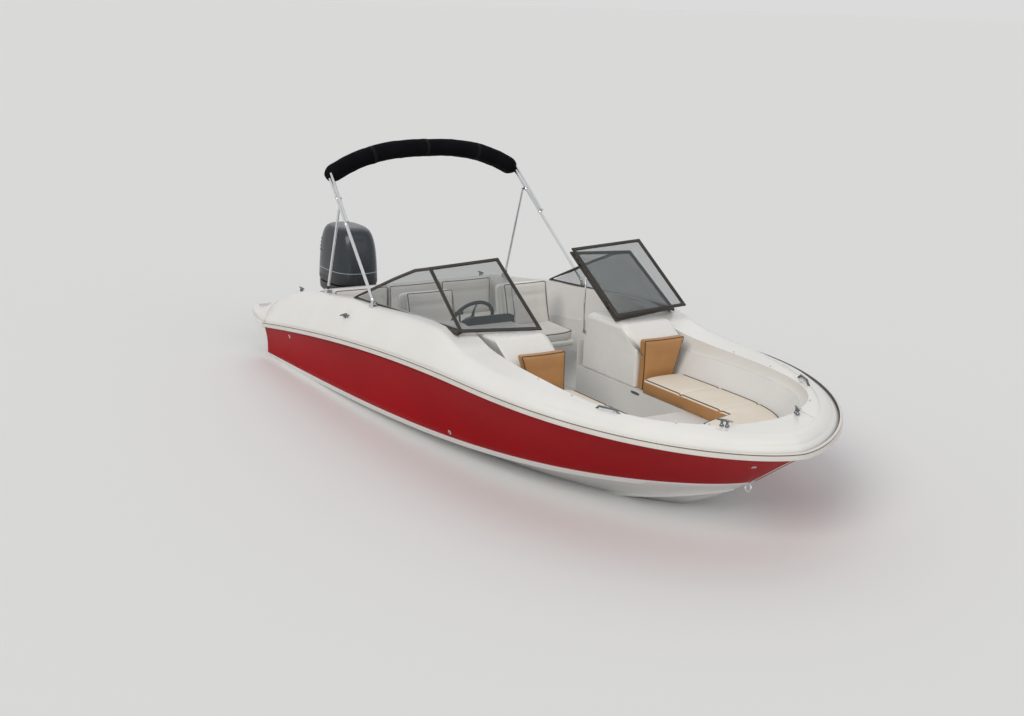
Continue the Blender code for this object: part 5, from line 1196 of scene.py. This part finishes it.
pane_glass = tinted_glass("pane_glass", (0.085, 0.105, 0.115), (0.11, 0.13, 0.14), 0.27)
for _, name in SIDES:
    refined(f"windshield_frame_{name}", f"windshield_bars_{name}", [bronze], 0.0045, 3, 20, 50,
            slot="frame_bronze")
refined("windshield_gate", "gate_bars", [bronze], 0.0045, 3, 20, 50, body="gate", slot="frame_bronze")
for _, name in SIDES:
    refined(f"windshield_strut_{name}", f"windshield_rod_{name}", [bright_steel], 0.002, 2, 20, 50,
            slot="frame_bronze")
for _, name in SIDES:
    for part in ("front", "side"):
        refined(f"windshield_glass_{name}_{part}", f"windshield_pane_{name}_{part}", [pane_glass],
                slot="pane_glass")
refined("windshield_gate_glass", "gate_pane", [pane_glass], body="gate", slot="pane_glass")

# Sill of the windshield: a dark plate under the side frames that narrows aft, held by rivets.
SILL_WIDE = (0.042, 0.020)
SILL_HIGH = 0.020
SILL_STEPS = 24
SILL_UNDER = 0.012
RIVETS = 12


def sill_place(share):
    """Place and width of the sill at a share of its run aft."""
    return CORNER_FOOT.lerp(SIDE_END, share), SILL_WIDE[0] + (SILL_WIDE[1] - SILL_WIDE[0]) * share


for side, name in SIDES:
    bm = bmesh.new()
    rings = []
    for k in range(SILL_STEPS + 1):
        place, wide = sill_place(k / SILL_STEPS)
        inner, outer = place.y - 0.35 * wide, place.y + 0.65 * wide
        z = place.z - SILL_UNDER
        rings.append([(place.x, y * side, z + dz) for y, dz in (
            (inner, -0.004), (inner + 0.001, SILL_HIGH - 0.003), (inner + 0.005, SILL_HIGH),
            (outer - 0.006, SILL_HIGH - 0.012), (outer, SILL_HIGH - 0.018), (outer, -0.02))])
    loft_into(bm, rings)
    for k in range(RIVETS):
        place, wide = sill_place((k + 0.5) / RIVETS)
        turned_into(bm, (place.x, (place.y + 0.36 * wide) * side, place.z - 0.0115), (0, 0, 1),
                    [(0.0, 0.0035), (0.003, 0.0032), (0.0045, 0.0015)], 10, 1)
    piece_from(f"sill_{name}", bm, [bronze, bright_steel], slot="frame_bronze")


# Folding top: black acrylic canvas folded round its bows in a zipped boot, arched across the boat
# on polished tube legs. The legs pivot on deck hinges and two struts hold them from behind.
BOOT_END = Vector((-1.87, 0.915, 1.79))
BOOT_CENTRE_Z = 2.015
BOOT_HALF_WIDE = 0.93
BOOT_X = -1.90
BOOT_HIGH = 0.078
BOOT_THICK = 0.085
BOOT_ARCH_POWER = 2.6
BOOT_STATIONS = 150
BOOT_SIDES = 44
BOOT_SEAM_ANGLE = -1.9
BOOT_LAP = 3
BOOT_LAP_LIFT = 0.022
ROLL_SIZE = 0.965
STRAP_PLACES = (-0.55, 0.0, 0.55)
STRAP_HALF = 0.014
# edge of the band, size there against the boot
STRAP_BAND = [(-1.0, 0.994), (-1.0, 1.022), (1.0, 1.022), (1.0, 0.994)]
ZIP_REACH = 0.93
ZIP_STEPS = 90
ZIP_COLUMN = 7
ZIP_LIFT = 1.012
canvas_black = finish("canvas_black", (0.0035, 0.0035, 0.0045), (0.0065, 0.0065, 0.008), 0.85,
                      bump=0.0006, bump_scale=950.0, spread=0.06, scale=5.0, gleam=0.05)
webbing_black = finish("webbing_black", (0.006, 0.006, 0.007), (0.010, 0.010, 0.011), 0.7,
                       bump=0.0006, bump_scale=600.0, gleam=0.1)


def boot_line(across):
    """Middle of the bundle and its outward direction at a place across the boat."""
    near = max(-0.999, min(0.999, across))
    rise = BOOT_CENTRE_Z - BOOT_END.z
    slope = -rise * BOOT_ARCH_POWER / BOOT_HALF_WIDE
    slope *= abs(near) ** (BOOT_ARCH_POWER - 1) * (1 if near > 0 else -1)
    along = Vector((0, 1, slope)).normalized()
    height = BOOT_CENTRE_Z - rise * abs(across) ** BOOT_ARCH_POWER
    return Vector((BOOT_X, BOOT_HALF_WIDE * across, height)), Vector((0, -along.z, along.y))


def boot_skin_ring(across, size=1.0, lapped=False):
    """Folded bundle's section; lapped runs on past the start, one cloth thickness outside it."""
    centre, out = boot_line(across)
    near = min((1 - abs(across)) / 0.075, 1.0)
    slim = 0.42 + 0.58 * math.sin(0.5 * math.pi * near) ** 0.8
    ring = []
    for j in range(BOOT_SIDES + (BOOT_LAP if lapped else 0)):
        a = BOOT_SEAM_ANGLE + math.tau * j / BOOT_SIDES
        fold = 0.030 * math.sin(2 * a + 7 * across) + 0.022 * math.sin(3 * a - 19 * across + 1.3)
        fold += 0.016 * math.sin(5 * a + 41 * across) + 0.012 * math.sin(a + 63 * across + 0.6)
        reach = slim * size * (0.965 + 0.5 * fold) + (BOOT_LAP_LIFT if j >= BOOT_SIDES else 0.0)
        way = BOOT_THICK * math.cos(a) * Vector((1, 0, 0)) + BOOT_HIGH * math.sin(a) * out
        ring.append(centre + reach * way)
    return ring


boot_places = [-math.cos(math.pi * k / BOOT_STATIONS) for k in range(BOOT_STATIONS + 1)]
boot = lofted("top_boot", [boot_skin_ring(place, 1.0, True) for place in boot_places],
              [canvas_black], "top", 60, "canvas_black", closed=False)
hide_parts("bimini_boot")
roll = lofted("top_roll", [boot_skin_ring(place, ROLL_SIZE) for place in boot_places[::3]],
              [canvas_black], "top", 60, "canvas_black")
bm = bmesh.new()
for across in STRAP_PLACES:
    bands = []
    for step, lift in STRAP_BAND:
        place = across + step * STRAP_HALF / BOOT_HALF_WIDE
        centre, _ = boot_line(place)
        bands.append([centre + (p - centre) * lift for p in boot_skin_ring(place)])
    loft_into(bm, bands, caps=False)
zip_line = []
for k in range(ZIP_STEPS + 1):
    across = -ZIP_REACH + 2 * ZIP_REACH * k / ZIP_STEPS
    centre, _ = boot_line(across)
    zip_line.append(centre + (boot_skin_ring(across)[ZIP_COLUMN] - centre) * ZIP_LIFT)
tube_into(bm, zip_line, 0.0035, 8)
piece_from("top_straps", bm, [webbing_black], "top", 50, "canvas_black")

# Legs of the top: the main pair from the deck hinges to the boot's ends, a second pair beside their
# upper halves and two struts to the deck behind, with bright collars where they join.
TOP_FOOT = Vector((-0.83, 1.008, 0.9284))
EYE_R = 0.018
TUBE_R = 0.0125
SECOND_TUBE_R = 0.011
SECOND_ALONG_SHARE = 0.62
SECOND_AWAY = 0.032
STRUT_ALONG_SHARE = 0.83
STRUT_FOOT = Vector((-1.95, 0.975, 0.822))
STRUT_BESIDE = 0.032
polished = finish("polished", (0.80, 0.81, 0.82), (0.72, 0.73, 0.74), 0.10, metal=1.0, scale=14.0,
                  spread=0.04)
nylon_black = finish("nylon_black", (0.015, 0.015, 0.016), (0.025, 0.025, 0.026), 0.45)


def other_side(p, side):
    """A port place, or the same place on the given side."""
    return Vector((p[0], p[1] * side, p[2]))


for side, name in SIDES:
    foot, top = other_side(TOP_FOOT, side), other_side(BOOT_END, side)
    lean = (top - foot).normalized()
    away = lean.cross(Vector((0, 1, 0))).normalized()
    away = -away if away.x < 0 else away
    bm = bmesh.new()
    tube_into(bm, [foot + lean * 0.012, foot.lerp(top, 0.3), foot.lerp(top, 0.7), top + lean * 0.012],
              TUBE_R, 28)
    turned_into(bm, foot - Vector((0, TUBE_R, 0)), (0, 1, 0),
                [(0.0, 0.85 * EYE_R), (0.002, EYE_R), (2 * TUBE_R - 0.002, EYE_R),
                 (2 * TUBE_R, 0.85 * EYE_R)], 28, 1)
    for share in (0.035, SECOND_ALONG_SHARE, STRUT_ALONG_SHARE):
        turned_into(bm, foot.lerp(top, share) - lean * 0.018, lean,
                    [(0.0, TUBE_R + 0.0005), (0.003, TUBE_R + 0.003), (0.033, TUBE_R + 0.003),
                     (0.036, TUBE_R + 0.0005)], 28, 1)
    leg = piece_from(f"top_leg_{name}", bm, [polished, bright_steel], "top", 40, "stainless")
    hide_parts(f"bimini_leg_{name}")
    bm = bmesh.new()
    start = foot.lerp(top, SECOND_ALONG_SHARE) + away * SECOND_AWAY
    stop = top + lean * 0.010 + away * SECOND_AWAY * 1.4
    tube_into(bm, [start, start.lerp(stop, 0.5), stop], SECOND_TUBE_R, 24)
    tube_into(bm, [start - away * 0.003, start - away * (SECOND_AWAY - TUBE_R - 0.0006)], 0.0095, 16, 1)
    turned_into(bm, start - lean * 0.016, lean,
                [(0.0, 0.008), (0.004, SECOND_TUBE_R + 0.003), (0.024, SECOND_TUBE_R + 0.003),
                 (0.028, SECOND_TUBE_R)], 24, 1)
    second = piece_from(f"top_second_leg_{name}", bm, [polished, bright_steel], "top", 40, "stainless")
    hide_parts(f"bimini_second_leg_{name}")
    on_leg = foot.lerp(top, STRUT_ALONG_SHARE)
    on_leg.y -= side * STRUT_BESIDE
    strut_foot = other_side(STRUT_FOOT, side)
    strut_foot.y = on_leg.y
    bm = bmesh.new()
    tube_into(bm, [on_leg, on_leg.lerp(strut_foot, 0.5), strut_foot], SECOND_TUBE_R, 24)
    turned_into(bm, on_leg, (0, side, 0), [(0.0, 0.008), (STRUT_BESIDE - TUBE_R - 0.0009, 0.008)],
                16, 1)
    run = (strut_foot - on_leg).normalized()
    turned_into(bm, strut_foot - run * 0.030, run,
                [(0.0, SECOND_TUBE_R + 0.0004), (0.003, SECOND_TUBE_R + 0.0025),
                 (0.0298, SECOND_TUBE_R + 0.0025), (0.030, 0.009)], 24, 1)
    strut = piece_from(f"top_brace_{name}", bm, [polished, nylon_black], f"top_strut_{name}", 40,
                       "stainless")
    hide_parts(f"bimini_strut_{name}")
    refined(f"bimini_mount_{name}", f"top_hinge_{name}", [bright_steel], 0.0012, 2, slot="stainless")
    refined(f"bimini_strut_mount_{name}", f"brace_socket_{name}", [bright_steel], 0.003, 3,
            slot="stainless")


# Outboard: its clamp bracket hooks over the transom notch, and the swivel bracket tilts on it on a
# cross tube, raised by the cylinder between the cheeks. All three are cast and painted satin black.
MOTOR_LOW_Z = -0.36
LEG_FORE_X = -3.115
LEG_AFT_X = -3.40
LEG_HALF = 0.075
PAN_LOW_Z = 0.42
PAN_TOP_Z = 0.53
COWL_TOP_Z = 1.10
COWL_HALF = 0.235
COWL_FORE_X = -3.11
COWL_AFT_X = -3.82
CAST_ROLL = (28, 45)
cast_black = finish("cast_black", (0.022, 0.022, 0.024), (0.035, 0.035, 0.038), 0.42, metal=0.2,
                    bump=0.0007, bump_scale=260.0, spread=0.08)
motor_grey = finish("motor_grey", (0.034, 0.040, 0.049), (0.046, 0.053, 0.063), 0.27, metal=0.25,
                    spread=0.05, scale=2.0, coat=0.08, gleam=0.3)
refined("motor_clamp_bracket", "clamp_bracket", [cast_black], 0.004, 3, *CAST_ROLL, slot="motor_black")
refined("motor_swivel_bracket", "swivel_bracket", [cast_black], 0.003, 3, *CAST_ROLL, "motor_tilt",
        "motor_black")
refined("tilt_cylinder", "tilt_cylinder_body", [cast_black], 0.002, 2, *CAST_ROLL, "tilt_cylinder",
        "motor_black")
refined("tilt_rod", "tilt_rod_bar", [polished], 0.0015, 2, *CAST_ROLL, "tilt_rod", "stainless")
bm = bmesh.new()
for y in (-0.076, 0.076):
    for z in (0.15, -0.02):
        turned_into(bm, (TRANSOM_X - SEAM_GAP, y, z), (-1, 0, 0),
                    [(0.0, 0.014), (0.002, 0.014), (0.003, 0.010), (0.010, 0.010), (0.0115, 0.006)], 6)
piece_from("bracket_bolts", bm, [bright_steel], "root", 30, "stainless")

# Midsection and gearcase: cast housings painted dark metallic grey, with the flat plate over the
# propeller, the bullet of the gearcase and a thin skeg below.
PROP_Z = -0.575
PROP_X = -3.44
PROP_GAP = 0.0006
TORPEDO_R = 0.052
INTAKES = 4
INTAKE_Z = -0.455
# distance ahead of the hub, radius as a share of the gearcase's
BULLET = [(0.0, 0.90), (0.004, 0.93), (0.05, 0.985), (0.10, 1.006), (0.17, 1.004), (0.24, 0.98),
          (0.29, 0.905), (0.33, 0.79), (0.36, 0.65), (0.39, 0.435), (0.408, 0.27), (0.4185, 0.10)]


def oval(cx, half_long, half_wide, z, power, points=56):
    """Plan section of a housing."""
    ring = []
    for a in angles(points):
        c, s = math.cos(a), math.sin(a)
        ring.append((cx + half_long * abs(c) ** (2 / power) * (1 if c > 0 else -1),
                     half_wide * abs(s) ** (2 / power) * (1 if s > 0 else -1), z))
    return ring


def smooth_stack(rows, steps):
    """Sections through rows of (middle, half length, half width, height, power), made smooth."""
    firsts = smoothed([row[:3] for row in rows], steps)
    lasts = smoothed([(*row[3:5], 0.0) for row in rows], steps)
    return [oval(a.x, a.y, a.z, b.x, b.y) for a, b in zip(firsts, lasts)]


leg_x, leg_long = 0.5 * (LEG_FORE_X + LEG_AFT_X), 0.5 * (LEG_FORE_X - LEG_AFT_X)
housing = lofted("mid_housing", smooth_stack([
    (leg_x, leg_long * 0.80, LEG_HALF * 0.62, MOTOR_LOW_Z + SEAM_GAP, 2.2),
    (leg_x, leg_long * 0.85, LEG_HALF * 0.72, MOTOR_LOW_Z + 0.12, 2.2),
    (leg_x, leg_long * 0.95, LEG_HALF, MOTOR_LOW_Z + 0.40, 2.4),
    (leg_x - 0.02, leg_long * 1.1, LEG_HALF * 1.5, PAN_LOW_Z - 0.06, 2.6),
    (leg_x - 0.02, leg_long * 1.2, LEG_HALF * 1.9, PAN_LOW_Z - SEAM_GAP, 2.8)], 5),
    [motor_grey], "motor_steer", 40, "motor_grey")
refined("motor_midsection", "mid_arms", [motor_grey], 0.004, 3, *CAST_ROLL, "motor_steer", "motor_grey")
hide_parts("motor_midsection")
refined("motor_gearcase", "gearcase", [motor_grey], 0.0022, 2, 28, 60, "motor_steer", "motor_grey")
bm = bmesh.new()
turned_into(bm, (PROP_X + PROP_GAP, 0, PROP_Z), (1, 0, 0),
            [(d, TORPEDO_R * share) for d, share in BULLET], 40)
piece_from("gearcase_bullet", bm, [motor_grey], "motor_steer", 40, "motor_grey")
bm = bmesh.new()
for side in (1, -1):
    for k in range(INTAKES):
        turned_into(bm, (leg_x + 0.055 - 0.022 * k, side * 0.030, INTAKE_Z), (0, side, 0),
                    [(0.0, 0.006), (0.0075, 0.006), (0.009, 0.004)], 10)
piece_from("water_intakes", bm, [cast_black], "motor_steer", 30, "motor_black")

# Propeller: three polished steel blades on a flared hub, held by a nut on the shaft.
PROP_R = 0.178
HUB_R = 0.048
HUB_LONG = 0.12
PITCH = 0.40
# from root to tip: share of the reach, chord as a share of the radius, thickness
BLADE_ROWS = [(0.0, 0.42, 0.012), (0.15, 0.53, 0.011), (0.3, 0.62, 0.010), (0.45, 0.69, 0.0085),
              (0.6, 0.74, 0.007), (0.72, 0.70, 0.006), (0.85, 0.58, 0.005), (0.93, 0.42, 0.004),
              (1.0, 0.20, 0.003)]
# along the chord, across it, as shares of chord and thickness: one face, then back along the other
BLADE_FACE = [(-0.5, 0.1), (-0.42, 0.28), (-0.2, 0.5), (0.2, 0.5), (0.42, 0.28), (0.5, 0.1)]
BLADE_SECTION = BLADE_FACE + [(u, -v) for u, v in BLADE_FACE[::-1]]
BLADE_SKEW = 0.25
# distance aft of the hub's front, radius as a share of the hub's
HUB_OUTSIDE = [(0.0, 0.93), (0.004, 0.97), (0.036, 1.0), (0.09, 0.93), (0.105, 0.95),
               (0.118, 1.055), (0.12, 1.04), (0.1195, 0.85), (0.100, 0.60)]
SHAFT_NUT = [(0.100, 0.018), (0.116, 0.016), (0.118, 0.010)]
blade_steel = finish("blade_steel", (0.70, 0.71, 0.73), (0.58, 0.59, 0.61), 0.16, metal=1.0,
                     scale=16.0)
bm = bmesh.new()
for k in range(3):
    rings = []
    for share, chord, thick in BLADE_ROWS:
        root = HUB_R * 0.9
        r = root + share * (PROP_R - root)
        angle, long = math.atan2(PITCH, math.tau * r), chord * PROP_R
        ring = []
        for u, v in BLADE_SECTION:
            along, off = u * long, v * thick
            x = along * math.sin(angle) - off * math.cos(angle)
            t = (along * math.cos(angle) + off * math.sin(angle)) / r
            t += BLADE_SKEW * share + math.tau * k / 3
            ring.append((PROP_X - 0.5 * HUB_LONG + x, r * math.sin(t), PROP_Z + r * math.cos(t)))
        rings.append(ring)
    loft_into(bm, rings)
turned_into(bm, (PROP_X - PROP_GAP, 0, PROP_Z), (-1, 0, 0),
            [(d, HUB_R * share) for d, share in HUB_OUTSIDE] + SHAFT_NUT, 40)
propeller = piece_from("propeller_made", bm, [blade_steel], "propeller", 35, "stainless")
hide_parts("propeller")

# Cowl: a moulded hood over the engine, metallic dark grey, on a black lower pan. A pale line runs
# round it low down, and four air slots are let into each side towards its back.
COWL_SKIRT_SHARE = 0.12
COWL_POWER = 2.8
COWL_LINE_UP = 0.24
COWL_LINE_HALF = 0.008
COWL_LINE_IN = -0.002
COWL_LINE_PROUD = 0.0016
COWL_SLOTS = 4
COWL_SLOT_UP = 0.30
COWL_SLOTS_APART = 0.036
COWL_SLOT_R = 0.0050
# height share, length share, width share, shift aft as a share of half length
COWL_ROWS = [(0.00, 0.985, 0.985, 0.00), (0.035, 1.00, 1.00, 0.00), (0.12, 1.00, 1.00, 0.00),
             (0.26, 0.995, 0.99, 0.00), (0.40, 0.985, 0.97, 0.00), (0.54, 0.966, 0.95, 0.004),
             (0.66, 0.94, 0.92, 0.01), (0.76, 0.905, 0.88, 0.02), (0.84, 0.86, 0.83, 0.03),
             (0.90, 0.805, 0.77, 0.04), (0.94, 0.75, 0.70, 0.05), (0.975, 0.65, 0.60, 0.06),
             (0.993, 0.50, 0.45, 0.068), (1.00, 0.30, 0.26, 0.07)]
# middle ahead of the cowl's, length share, width share, height of the lower pan's sections
PAN_ROWS = [(0.01, 0.80, 0.76, PAN_LOW_Z), (0.01, 0.84, 0.81, PAN_LOW_Z + 0.004),
            (0.005, 0.92, 0.91, PAN_LOW_Z + 0.022), (0.0, 0.96, 0.97, PAN_LOW_Z + 0.045),
            (0.0, 0.97, 0.98, PAN_TOP_Z - 0.012), (0.0, 0.965, 0.975, PAN_TOP_Z)]
cowl_x, cowl_long = 0.5 * (COWL_FORE_X + COWL_AFT_X), 0.5 * (COWL_FORE_X - COWL_AFT_X)


def cowl_section(up, grow=0.0):
    """Plan section of the hood at a share of its height, grown by a little."""
    for (u0, l0, w0, s0), (u1, l1, w1, s1) in zip(COWL_ROWS, COWL_ROWS[1:]):
        if u0 <= up <= u1:
            t = (up - u0) / (u1 - u0)
            break
    long, wide, shift = l0 + (l1 - l0) * t, w0 + (w1 - w0) * t, s0 + (s1 - s0) * t
    z = PAN_TOP_Z + SEAM_GAP + up * (COWL_TOP_Z - PAN_TOP_Z - SEAM_GAP)
    return oval(cowl_x - shift * cowl_long, cowl_long * long + grow, COWL_HALF * wide + grow, z,
                COWL_POWER, 72)


cowl_pale = finish("cowl_pale", (0.55, 0.57, 0.60), (0.47, 0.49, 0.52), 0.22, metal=0.6)
bm = bmesh.new()
loft_into(bm, [cowl_section(up) for up, *_ in COWL_ROWS])
for face in bm.faces:
    if face.calc_center_median().z < PAN_TOP_Z + COWL_SKIRT_SHARE * (COWL_TOP_Z - PAN_TOP_Z):
        face.material_index = 1
hood = piece_from("cowl_hood", bm, [motor_grey, cast_black], "motor_steer", 50, "motor_grey")
softened(hood)
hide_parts("motor_cowl")
lofted("cowl_line", [cowl_section(COWL_LINE_UP - COWL_LINE_HALF, COWL_LINE_IN),
                     cowl_section(COWL_LINE_UP, COWL_LINE_PROUD),
                     cowl_section(COWL_LINE_UP + COWL_LINE_HALF, COWL_LINE_IN)],
       [cowl_pale], "motor_steer", 60, "motor_grey", caps=False)
bm = bmesh.new()
for side in (1, -1):
    for k in range(COWL_SLOTS):
        up = (COWL_SLOT_UP + COWL_SLOTS_APART * k) / (COWL_TOP_Z - PAN_TOP_Z)
        aft = [p for p in cowl_section(up) if p[0] < cowl_x - 0.16 and p[1] * side > 0.06]
        tube_into(bm, sorted(aft, key=lambda p: p[0]), COWL_SLOT_R, 8)
piece_from("cowl_slots", bm, [cast_black], "motor_steer", 50, "motor_black")
pan = lofted("lower_pan", smooth_stack([(cowl_x + ahead, cowl_long * long, COWL_HALF * wide, z,
                                         COWL_POWER) for ahead, long, wide, z in PAN_ROWS], 3),
             [cast_black], "motor_steer", 40, "motor_black")
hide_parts("motor_pan")
nodes["motor_powerhead"].data.materials.clear()
nodes["motor_powerhead"].data.materials.append(cast_black)


# Deck hardware: polished cleats with two feet and tapered horns, grab handles with flanged
# ends, and the bow eye bolted through the stem. Cleats and handles are chrome darkened as a painted
# reflection of dark surroundings.
CLEAT_LONG = 0.11
CLEAT_HIGH = 0.035
CLEAT_FEET = (-0.16, 0.16)
# place along the cleat as a share of its length, radius of the horn there
HORN = [(-0.5, 0.0035), (-0.44, 0.0052), (-0.32, 0.0066), (-0.2, 0.0078), (0.0, 0.0082), (0.2, 0.0078),
        (0.32, 0.0066), (0.44, 0.0052), (0.5, 0.0035)]
BOW_CLEAT_TURN = 0.5
# the midship cleats have no node and stand on the sloping deck sides, their feet run into them
MID_CLEAT_PLACE = (-1.104, 1.115, 0.774)
MID_CLEAT_ALONG = (0.931, -0.132, 0.340)
MID_CLEAT_OUT = (-0.07, 0.86, 0.51)
MID_CLEAT_SUNK = 0.003
# chrome darkened in colour: a painted reflection of dark surroundings
chrome_dark_reflection = finish("chrome_dark_reflection", (0.20, 0.215, 0.235), (0.14, 0.15, 0.165), 0.18, metal=1.0,
                     scale=12.0)


def cleat_piece(name, foot, along, out, high, sunk=0.0):
    """A cleat over a place on the deck, the way its horn runs and the way it stands."""
    top = foot + out * high
    bm = bmesh.new()
    tube_into(bm, [top + along * CLEAT_LONG * share for share, _ in HORN], [r for _, r in HORN], 20)
    for share in CLEAT_FEET:
        turned_into(bm, foot - out * sunk + along * share * CLEAT_LONG, out,
                    [(0.0, 0.015), (0.003 + sunk, 0.0148), (0.006 + sunk, 0.0115),
                     (0.014 + sunk, 0.0085), (high + sunk, 0.0070)], 24)
    return piece_from(name, bm, [chrome_dark_reflection], "root", 40, "stainless")


for place, turn in (("bow", BOW_CLEAT_TURN), ("stern", 0.0)):
    for side, name in SIDES:
        low, high = (Vector(corner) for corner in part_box(f"cleat_{place}_{name}"))
        foot = Vector(((low.x + high.x) / 2, (low.y + high.y) / 2, low.z))
        along = Vector((math.cos(turn), -side * math.sin(turn), 0))
        made = cleat_piece(f"cleat_{place}_{name}_made", foot, along, Vector((0, 0, 1)),
                           high.z - 0.008 - low.z)
        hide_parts(f"cleat_{place}_{name}")
for side, name in SIDES:
    along = other_side(MID_CLEAT_ALONG, side).normalized()
    out = other_side(MID_CLEAT_OUT, side)
    out = (out - along * out.dot(along)).normalized()
    cleat_piece(f"cleat_mid_{name}", other_side(MID_CLEAT_PLACE, side), along, out, CLEAT_HIGH,
                MID_CLEAT_SUNK)
for name in ("grab_handle_port", "grab_handle_stbd"):
    refined(name, f"{name}_bar", [chrome_dark_reflection], 0.002, 2, 20, 60, slot="stainless")
refined("bow_eye", "bow_eye_ring", [polished], 0.0012, 2, 20, 60, slot="stainless")

# Small fittings: snap studs for the bow cover along the coaming, and round bright fittings let into
# the topsides at the stern, amidships and by the bow.
STUDS = (1.35, 1.75, 2.13, 2.465, 2.57)
STUD_OUT = 0.022
# place on the topsides, way out of it, radius, how far it stands out
FITTINGS = [((-2.265, 1.128, 0.347), (0.0, 0.96, -0.27), 0.018, 0.004),
            ((0.47, 1.027, 0.237), (0.11, 0.93, -0.35), 0.018, 0.006),
            ((2.796, 0.192, 0.565), (0.54, 0.28, -0.79), 0.017, 0.005)]
FITTING_DEEP = 0.02
bm = bmesh.new()
for side in (1, -1):
    for x in STUDS:
        along = min(max(x - BOW_WIDEST_X, 0) / BOW_WELL_LENGTH, 1.0)
        y = max(BOW_HALF * (1 - along ** 3.2) ** 0.5 + STUD_OUT, 0.05)
        turned_into(bm, (x, y * side, crown_height(x) - 0.001), (0, 0, 1),
                    [(0.0, 0.0075), (0.002, 0.0072), (0.0035, 0.0045), (0.0065, 0.0048),
                     (0.0072, 0.0025)], 14)
piece_from("snap_studs", bm, [bright_steel], slot="stainless")
bm = bmesh.new()
for side in (1, -1):
    for place, out, radius, proud in FITTINGS:
        place, out = other_side(place, side), other_side(out, side)
        turned_into(bm, place - out * FITTING_DEEP, out,
                    [(0.0, radius), (FITTING_DEEP - 0.002 + proud, radius),
                     (FITTING_DEEP + proud, 0.8 * radius),
                     (FITTING_DEEP + 0.0005 + proud, 0.42 * radius), (0.016, 0.38 * radius)], 20)
piece_from("hull_fittings", bm, [bright_steel], slot="stainless")
